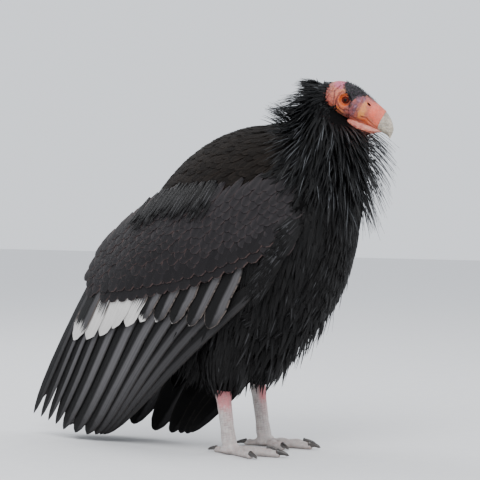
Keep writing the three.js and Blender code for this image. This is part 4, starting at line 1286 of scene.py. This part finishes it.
coat(make_head(), "bare_skin", "head")
coat(nape_plumes(), "ruff_plumage")
coat(forehead_bristles(), "ruff_plumage")


# %% [markdown]
# ## Bill and jaw
# The end of the upper bill is a hook of ivory horn, smooth but mottled. The lower jaw is a soft
# orange lobe that the hook closes over.

# %% Horn hook
def head_form(name, rows, around, along, material, bulge):
    """A form of the head from its sections, pushed out by a bulge; also returns its points."""
    bm = bmesh.new()
    verts, station, turn = ball_loft(bm, rows, around, along)
    points = section_point(rows, station, turn)
    middle = section_point(rows, station, turn + pi)
    out = unit(points - (points + middle) / 2)
    points = points + out * bulge(points)[:, None]
    for vert, point in zip(verts, points.tolist()):
        vert.co = (HEAD_PLACE @ Vector(point)) * MM
    return object_from(bm, name, material), points


def horn_material():
    m = Nodes("BillHorn")
    here = m.here()
    cloud = m.noise(here, 210.0, 5.0, 0.65)
    streak = m.noise(m.add("Mapping", {"Vector": here, "Scale": (0.5, 1.0, 3.0)}).outputs[0], 220.0, 3.0)
    laid = m.add("Attribute", attribute_name="paint", attribute_type="GEOMETRY").outputs["Color"]
    base = m.mix(m.ramp(cloud, 0.35, 0.62), laid, m.mix(0.75, laid, (0.20, 0.165, 0.13)))
    base = m.mix(m.math("MULTIPLY", m.ramp(streak, 0.5, 0.7), 0.4), base, (0.72, 0.68, 0.60))
    return m.finish(Base_Color=base, Roughness=m.ramp(streak, 0.2, 0.8, (0.25, 0.42)),
                    Normal=m.bump(m.math("ADD", streak, cloud), 0.35, 0.0006), Subsurface_Weight=0.08,
                    Subsurface_Radius=(0.003, 0.002, 0.001), Coat_Weight=0.25, Coat_Roughness=0.2)


IVORY, RIDGE_GREY, TIP_AMBER = (0.52, 0.45, 0.35), (0.15, 0.13, 0.115), (0.42, 0.33, 0.2)
hook, hook_points = head_form("bill_hook", HORN, 120, 110, horn_material(), lambda at: 0.12 * ripple(at, 5))
hook_colour = tinted(IVORY, RIDGE_GREY, 0.6 * smooth(hook_points[:, 2], 0, 14))
paint(hook.data, tinted(hook_colour, TIP_AMBER, 0.3 * smooth(hook_points[:, 0], 108, 118)))
coat(hook, "bill_horn", "bill_tip")
print("hook faces:", len(hook.data.polygons))

# %% [markdown]
# The jaw is painted like the face: redder in lumps, paler along its upper edge, and darker beneath
# by painted shade.

# %% Lower jaw
JAW_PINK, JAW_RED, JAW_PALE = (0.72, 0.23, 0.155), (0.46, 0.11, 0.12), (0.80, 0.42, 0.34)


def jaw_bulge(at):
    line = np.exp(-(((at[:, 2] + 34 + 0.12 * (at[:, 0] - 46)) / 1.3) ** 2)) * smooth(at[:, 0], 76, 60)
    return 0.3 * ripple(at, 7) + 0.12 * ripple(at, 2.5) - 0.7 * line


jaw, jaw_points = head_form("lower_jaw", JAW, 150, 130, FACE, jaw_bulge)
red = smooth(ripple(jaw_points, 12), 0.0, 1.0) * smooth(jaw_points[:, 0], 80, 60)
jaw_colour = tinted(JAW_PINK, JAW_RED, 0.6 * red)
jaw_colour = tinted(jaw_colour, JAW_PALE, 0.5 * smooth(jaw_points[:, 2], -34, -29))
# Painted shade: darker towards the underside of the jaw.
jaw_colour = tinted(jaw_colour, 0.0, 0.55 * smooth(jaw_points[:, 2], -38, -47))
paint(jaw.data, jaw_colour, np.zeros(len(jaw_points)))
coat(jaw, "jaw_horn", "jaw")
print("jaw faces:", len(jaw.data.polygons))


# %% [markdown]
# ## Eyes
# A dark red iris round a black pupil, under a clear wet surface. The ball is one mesh, and its
# colours run by the distance from the middle of the pupil.

# %% Eyeballs
def eye_material():
    m = Nodes("EyeGlass")
    laid = m.add("Attribute", attribute_name="paint", attribute_type="GEOMETRY").outputs["Color"]
    return m.finish(Base_Color=laid, Roughness=0.3, Coat_Weight=0.05, Coat_Roughness=0.04,
                    Specular_IOR_Level=0.08)


EYE_FINISH = eye_material()
PUPIL = (0.003, 0.003, 0.003)
EYE_EDGE = (0.02, 0.006, 0.004)


def make_eye(side):
    bm = bmesh.new()
    turned = Matrix.Rotation(-side * pi / 2, 4, "X")
    made = bmesh.ops.create_uvsphere(bm, u_segments=120, v_segments=160, radius=EYE_RADIUS, matrix=turned)
    verts = made["verts"]
    raw = np.array([vert.co[:] for vert in verts])
    tilt = np.hypot(raw[:, 0], raw[:, 2]) + 100 * (raw[:, 1] * side < 0)
    cornea = 0.8 * smooth(tilt, 6.5, 3.5)
    raw = raw + np.array([0, side, 0]) * cornea[:, None]
    for vert, point in zip(verts, (raw + [EYE_AT[0], side * EYE_AT[1], EYE_AT[2]]).tolist()):
        vert.co = (HEAD_PLACE @ Vector(point)) * MM
    eye = object_from(bm, f"eyeball_{SIDE_NAME[side]}", EYE_FINISH)
    spokes = 0.5 + 0.5 * np.sin(40 * np.arctan2(raw[:, 2], raw[:, 0]) + 3 * ripple(raw, 4))
    spokes = (spokes * smooth(tilt, 6.2, 3.0))[:, None]
    iris = np.array((0.075, 0.008, 0.005)) + np.array((0.10, 0.012, 0.0)) * spokes
    colour = tinted(iris, PUPIL, smooth(tilt, 3.9, 3.4))
    paint(eye.data, tinted(colour, EYE_EDGE, smooth(tilt, 6.4, 7.6)))
    return coat(eye, "eye", f"eye_{SIDE_NAME[side]}")


for side in SIDES:
    make_eye(side)
print("head finished")


# %% [markdown]
# ## Legs, feet and claws
# The bare shanks are pale grey, covered with small scales, and flushed pink at the top in front.
# The toes carry broad plates across their tops. One ball per form is bent to its sections, and a
# voxel remesh melts them into one skin, which then gets its scales. The claws are separate horns.

# %% Shanks and feet
SHANK = [  # height, half depth and half width
    (150, 13, 11), (138, 15, 13), (120, 16.5, 15), (100, 14.5, 13.5), (50, 13.5, 12.5), (26, 15.5, 15),
    (6, 13, 13),
]
# Each toe's angle from straight ahead, its length and its thickness.
TOES = {"inner": (-32, 74, 16), "middle": (-2, 106, 18), "outer": (30, 80, 16), "hind": (195, 42, 14)}
CLAW_LENGTH = 24
TOE_JOINTS = [(0, 1.05), (0.22, 0.88), (0.42, 1.02), (0.6, 0.86), (0.8, 0.98), (1, 0.7)]


def toe_rows(length, thick):
    rows = [[-8, 0.5 * thick, -8, 0.4 * thick, 0]]
    for t, full in TOE_JOINTS:
        height = thick * full * (1.1 - 0.25 * t)
        rows.append([length * t, height, length * t, 0.2, thick * full / 2])
    rows.append([length + 4, 0.4 * thick, length + 4, 0.35 * thick, 0])
    return np.array(rows, float)


def add_shank(bm, side):
    made = bmesh.ops.create_uvsphere(bm, u_segments=48, v_segments=60, radius=1)["verts"]
    raw = np.array([vert.co[:] for vert in made])
    heights, half_depth, half_width = np.array(SHANK).T
    z = 78 + 74 * raw[:, 2] * (1 + 0.12 * (1 - np.abs(raw[:, 2])))
    long = np.interp(-z, -heights, half_depth)
    wide = np.interp(-z, -heights, half_width)
    turn = np.arctan2(raw[:, 1], raw[:, 0])
    share = np.sqrt(np.clip(1 - np.abs(raw[:, 2]) ** 14, 0, 1)) * (np.hypot(raw[:, 0], raw[:, 1]) > 1e-4)
    x = FOOT_X + (ANKLE[0] - FOOT_X) * z / ANKLE[1] + long * share * np.cos(turn)
    set_points(made, np.stack([x, side * LEG_SPACING / 2 + wide * share * np.sin(turn), z], 1))


def add_foot(bm, side):
    centre = Vector(place((FOOT_X, side * LEG_SPACING / 2, 8.5)))
    pad = Matrix.Translation(centre) @ Matrix.Diagonal((0.021, 0.018, 0.0085, 1))
    bmesh.ops.create_uvsphere(bm, u_segments=40, v_segments=30, radius=1, matrix=pad)
    crown = Matrix.Translation(centre + Vector((0, 0, 0.004))) @ Matrix.Diagonal((0.019, 0.016, 0.013, 1))
    bmesh.ops.create_uvsphere(bm, u_segments=40, v_segments=30, radius=1, matrix=crown)
    for angle, length, thick in TOES.values():
        rows = toe_rows(length, thick)
        verts, station, turn = ball_loft(bm, rows, 32, 48)
        points = section_point(rows, station, turn)
        points[:, 2] = np.maximum(points[:, 2], 0.3)
        set_points(verts, to_toe(points, side, angle))


def to_toe(points, side, angle):
    """Turns places along a toe to its place on the foot."""
    turn = side * radians(angle)
    x = points[:, 0] * cos(turn) - points[:, 1] * sin(turn)
    y = points[:, 0] * sin(turn) + points[:, 1] * cos(turn)
    return np.stack([x + FOOT_X, y + side * LEG_SPACING / 2, points[:, 2]], 1)


# %% [markdown]
# The scales are a height on the melted skin, pushed in at the seams between them: rows round the
# shank, and broad plates across the top of each toe. The same numbers darken the seams and place
# the pink flush, so that shape and colour agree.

# %% Scales and colours of the leg
LEG_GREY, LEG_BROWN, SEAM_GREY = (0.50, 0.46, 0.44), (0.42, 0.33, 0.32), (0.24, 0.20, 0.20)
FLUSH_PINK, SOLE_BROWN = (0.52, 0.12, 0.14), (0.25, 0.21, 0.19)
PLATE_LENGTH = 5.2
SCALE_HEIGHT = 4.6
SCALES_AROUND = 14


def leg_details(piece, side):
    """Scales the leg's surface and says its colours."""
    mesh = piece.data
    raw = np.empty(len(mesh.vertices) * 3)
    mesh.vertices.foreach_get("co", raw)
    at = raw.reshape(-1, 3) / MM - [FORWARD, 0, 0]
    normal = np.empty(len(mesh.vertices) * 3)
    mesh.vertices.foreach_get("normal", normal)
    normal = normal.reshape(-1, 3)
    x, y, z = at[:, 0] - FOOT_X, at[:, 1] - side * LEG_SPACING / 2, at[:, 2]
    height = 0.12 * ripple(at, 4) + 0.2 * ripple(at, 9)
    plate = np.zeros(len(at))
    for angle, length, thick in TOES.values():
        turn = side * radians(angle)
        along = x * cos(turn) + y * sin(turn)
        beside = np.abs(-x * sin(turn) + y * cos(turn))
        on_toe = smooth(beside, thick * 0.55, thick * 0.35) * smooth(along, 12, 20)
        on_toe = on_toe * smooth(normal[:, 2], 0.1, 0.5) * smooth(z, 26, 20)
        plate = np.maximum(plate, on_toe)
        seam = np.abs(np.sin(pi * (along + 2 * np.sin(beside * 0.5)) / PLATE_LENGTH))
        height += on_toe * 0.75 * (smooth(seam, 0.0, 0.45) - 0.6)
    shank = smooth(z, 24, 34)
    turn = np.arctan2(y, x - (ANKLE[0] - FOOT_X) * z / ANKLE[1])
    column = np.round(turn * SCALES_AROUND / (2 * pi))
    seam = np.abs(np.sin(pi * z / SCALE_HEIGHT + 1.6 * column * pi / 2))
    beside = np.abs(np.sin(turn * SCALES_AROUND / 2))
    scale = np.minimum(smooth(seam, 0, 0.4), smooth(beside, 0, 0.35))
    height += shank * 0.45 * (scale - 0.6)
    moved = at + normal * height[:, None]
    moved[:, 2] = np.maximum(moved[:, 2], 0.0)
    mesh.vertices.foreach_set("co", ((moved + [FORWARD, 0, 0]) * MM).ravel())
    mesh.update()
    colour = tinted(LEG_GREY, LEG_BROWN, 0.35 * smooth(ripple(at, 14), -0.4, 1.0))
    colour = tinted(colour, SEAM_GREY, 0.65 * (shank * (1 - scale) + plate * 0.3))
    flush = smooth(z + 4 * ripple(at, 7), 74, 104) * smooth(np.cos(turn - side * 0.6), -0.5, 0.4)
    flush = np.maximum(flush, 0.35 * smooth(z, 50, 90) * smooth(np.cos(turn), 0.2, 0.9))
    colour = tinted(colour, FLUSH_PINK, 0.85 * flush)
    paint(mesh, tinted(colour, SOLE_BROWN, 0.4 * smooth(z, 12, 2)), np.zeros(len(at)))


LEG = skin_material("LegSkin", 520.0, 0.55, (0.22, 0.17, 0.16), 0.4)


def make_leg(side):
    bm = bmesh.new()
    add_shank(bm, side)
    add_foot(bm, side)
    leg = melt(object_from(bm, f"leg_{SIDE_NAME[side]}"), 0.0012, 2)
    leg.data.materials.clear()
    leg.data.materials.append(LEG)
    leg_details(leg, side)
    name = SIDE_NAME[side]
    return coat(leg, "leg_skin", f"shank_{name}", f"foot_{name}")


# %% [markdown]
# A claw is a horn that leaves the end of its toe, rises a little and comes down to a point. Its
# sections follow one arc, so one loop makes all four claws of a foot.

# %% Claws
def claw_material():
    m = Nodes("ClawHorn")
    here = m.here()
    grain = m.noise(here, 300.0, 4.0)
    cloud = m.noise(here, 90.0)
    base = m.mix(m.ramp(cloud, 0.3, 0.7), (0.016, 0.013, 0.012), (0.06, 0.05, 0.045))
    base = m.mix(m.math("MULTIPLY", m.ramp(grain, 0.55, 0.8), 0.4), base, (0.16, 0.14, 0.12))
    return m.finish(Base_Color=base, Roughness=m.ramp(grain, 0.2, 0.8, (0.25, 0.45)),
                    Normal=m.bump(grain, 0.3, 0.0004), Coat_Weight=0.2, Coat_Roughness=0.25)


CLAW = claw_material()


def make_claws(side):
    bm = bmesh.new()
    for angle, length, thick in TOES.values():
        rows = [[length - 4, 0.5 * thick, length - 4, 0.45 * thick, 0]]
        for t in (-0.1, 0.1, 0.35, 0.6, 0.82, 1.0):
            x = length + CLAW_LENGTH * t
            middle = 0.42 * thick * (1 + 0.55 * sin(pi * (0.25 + 0.6 * max(t, 0)))) - 4.5 * t
            half = 0.0 if t == 1.0 else (0.31 - 0.21 * t) * thick
            rows.append([x, middle + half * 1.15, x - 1.5 * t, middle - half * 1.15, half])
        rows = np.array(rows, float)
        verts, station, turn = ball_loft(bm, rows, 28, 44)
        points = section_point(rows, station, turn)
        points[:, 2] = np.maximum(points[:, 2], 0.2)
        set_points(verts, to_toe(points, side, angle))
    name = SIDE_NAME[side]
    piece = object_from(bm, f"claws_{name}", CLAW)
    return coat(piece, "claw", *(f"claw_{toe}_{name}" for toe in TOES))


for side in SIDES:
    leg = make_leg(side)
    make_claws(side)
    print("leg faces:", len(leg.data.polygons))


# %% [markdown]
# ## Stage, light and camera
# A plain pale floor and three soft lamps light the bird like a museum photograph. The camera
# stands low on the bird's right, a little ahead of it.

# %% Floor, lamps and camera
def stage_floor():
    bm = bmesh.new()
    bmesh.ops.create_grid(bm, x_segments=1, y_segments=1, size=8)
    ground = Nodes("PaleFloor")
    speck = ground.noise(ground.here(), 30.0)
    colour = ground.mix(speck, (0.70, 0.70, 0.71), (0.76, 0.76, 0.76))
    object_from(bm, "floor", ground.finish(Base_Color=colour, Roughness=0.8))


def soft_lamp(name, at, power, size):
    lamp = bpy.data.lights.new(name, "AREA")
    lamp.energy = power
    lamp.size = size
    stand = bpy.data.objects.new(name, lamp)
    stand.location = at
    stand.rotation_euler = (Vector((0, 0, 0.4)) - stand.location).to_track_quat("-Z", "Y").to_euler()
    bpy.context.collection.objects.link(stand)


def sky():
    world = bpy.context.scene.world or bpy.data.worlds.new("World")
    bpy.context.scene.world = world
    world.use_nodes = True
    world.node_tree.nodes["Background"].inputs[0].default_value = (0.9, 0.94, 1.0, 1)
    world.node_tree.nodes["Background"].inputs[1].default_value = 1.25


def set_camera(azimuth, elevation, distance, aim, lens):
    way = Vector((-sin(azimuth) * cos(elevation), cos(azimuth) * cos(elevation), -sin(elevation)))
    camera = bpy.data.cameras.new("camera")
    camera.lens = lens
    stand = bpy.data.objects.new("camera", camera)
    stand.location = aim - way * distance
    stand.rotation_euler = way.to_track_quat("-Z", "Y").to_euler()
    bpy.context.collection.objects.link(stand)
    bpy.context.scene.camera = stand


stage_floor()
sky()
soft_lamp("key", (1.0, -2.4, 3.0), 90, 1.8)
soft_lamp("fill", (2.4, 1.8, 1.8), 35, 2.0)
soft_lamp("rim", (-2.4, 0.6, 2.6), 45, 1.6)
set_camera(radians(30), radians(2), 4.0, Vector((FORWARD * MM, 0, 0.42)), 150)
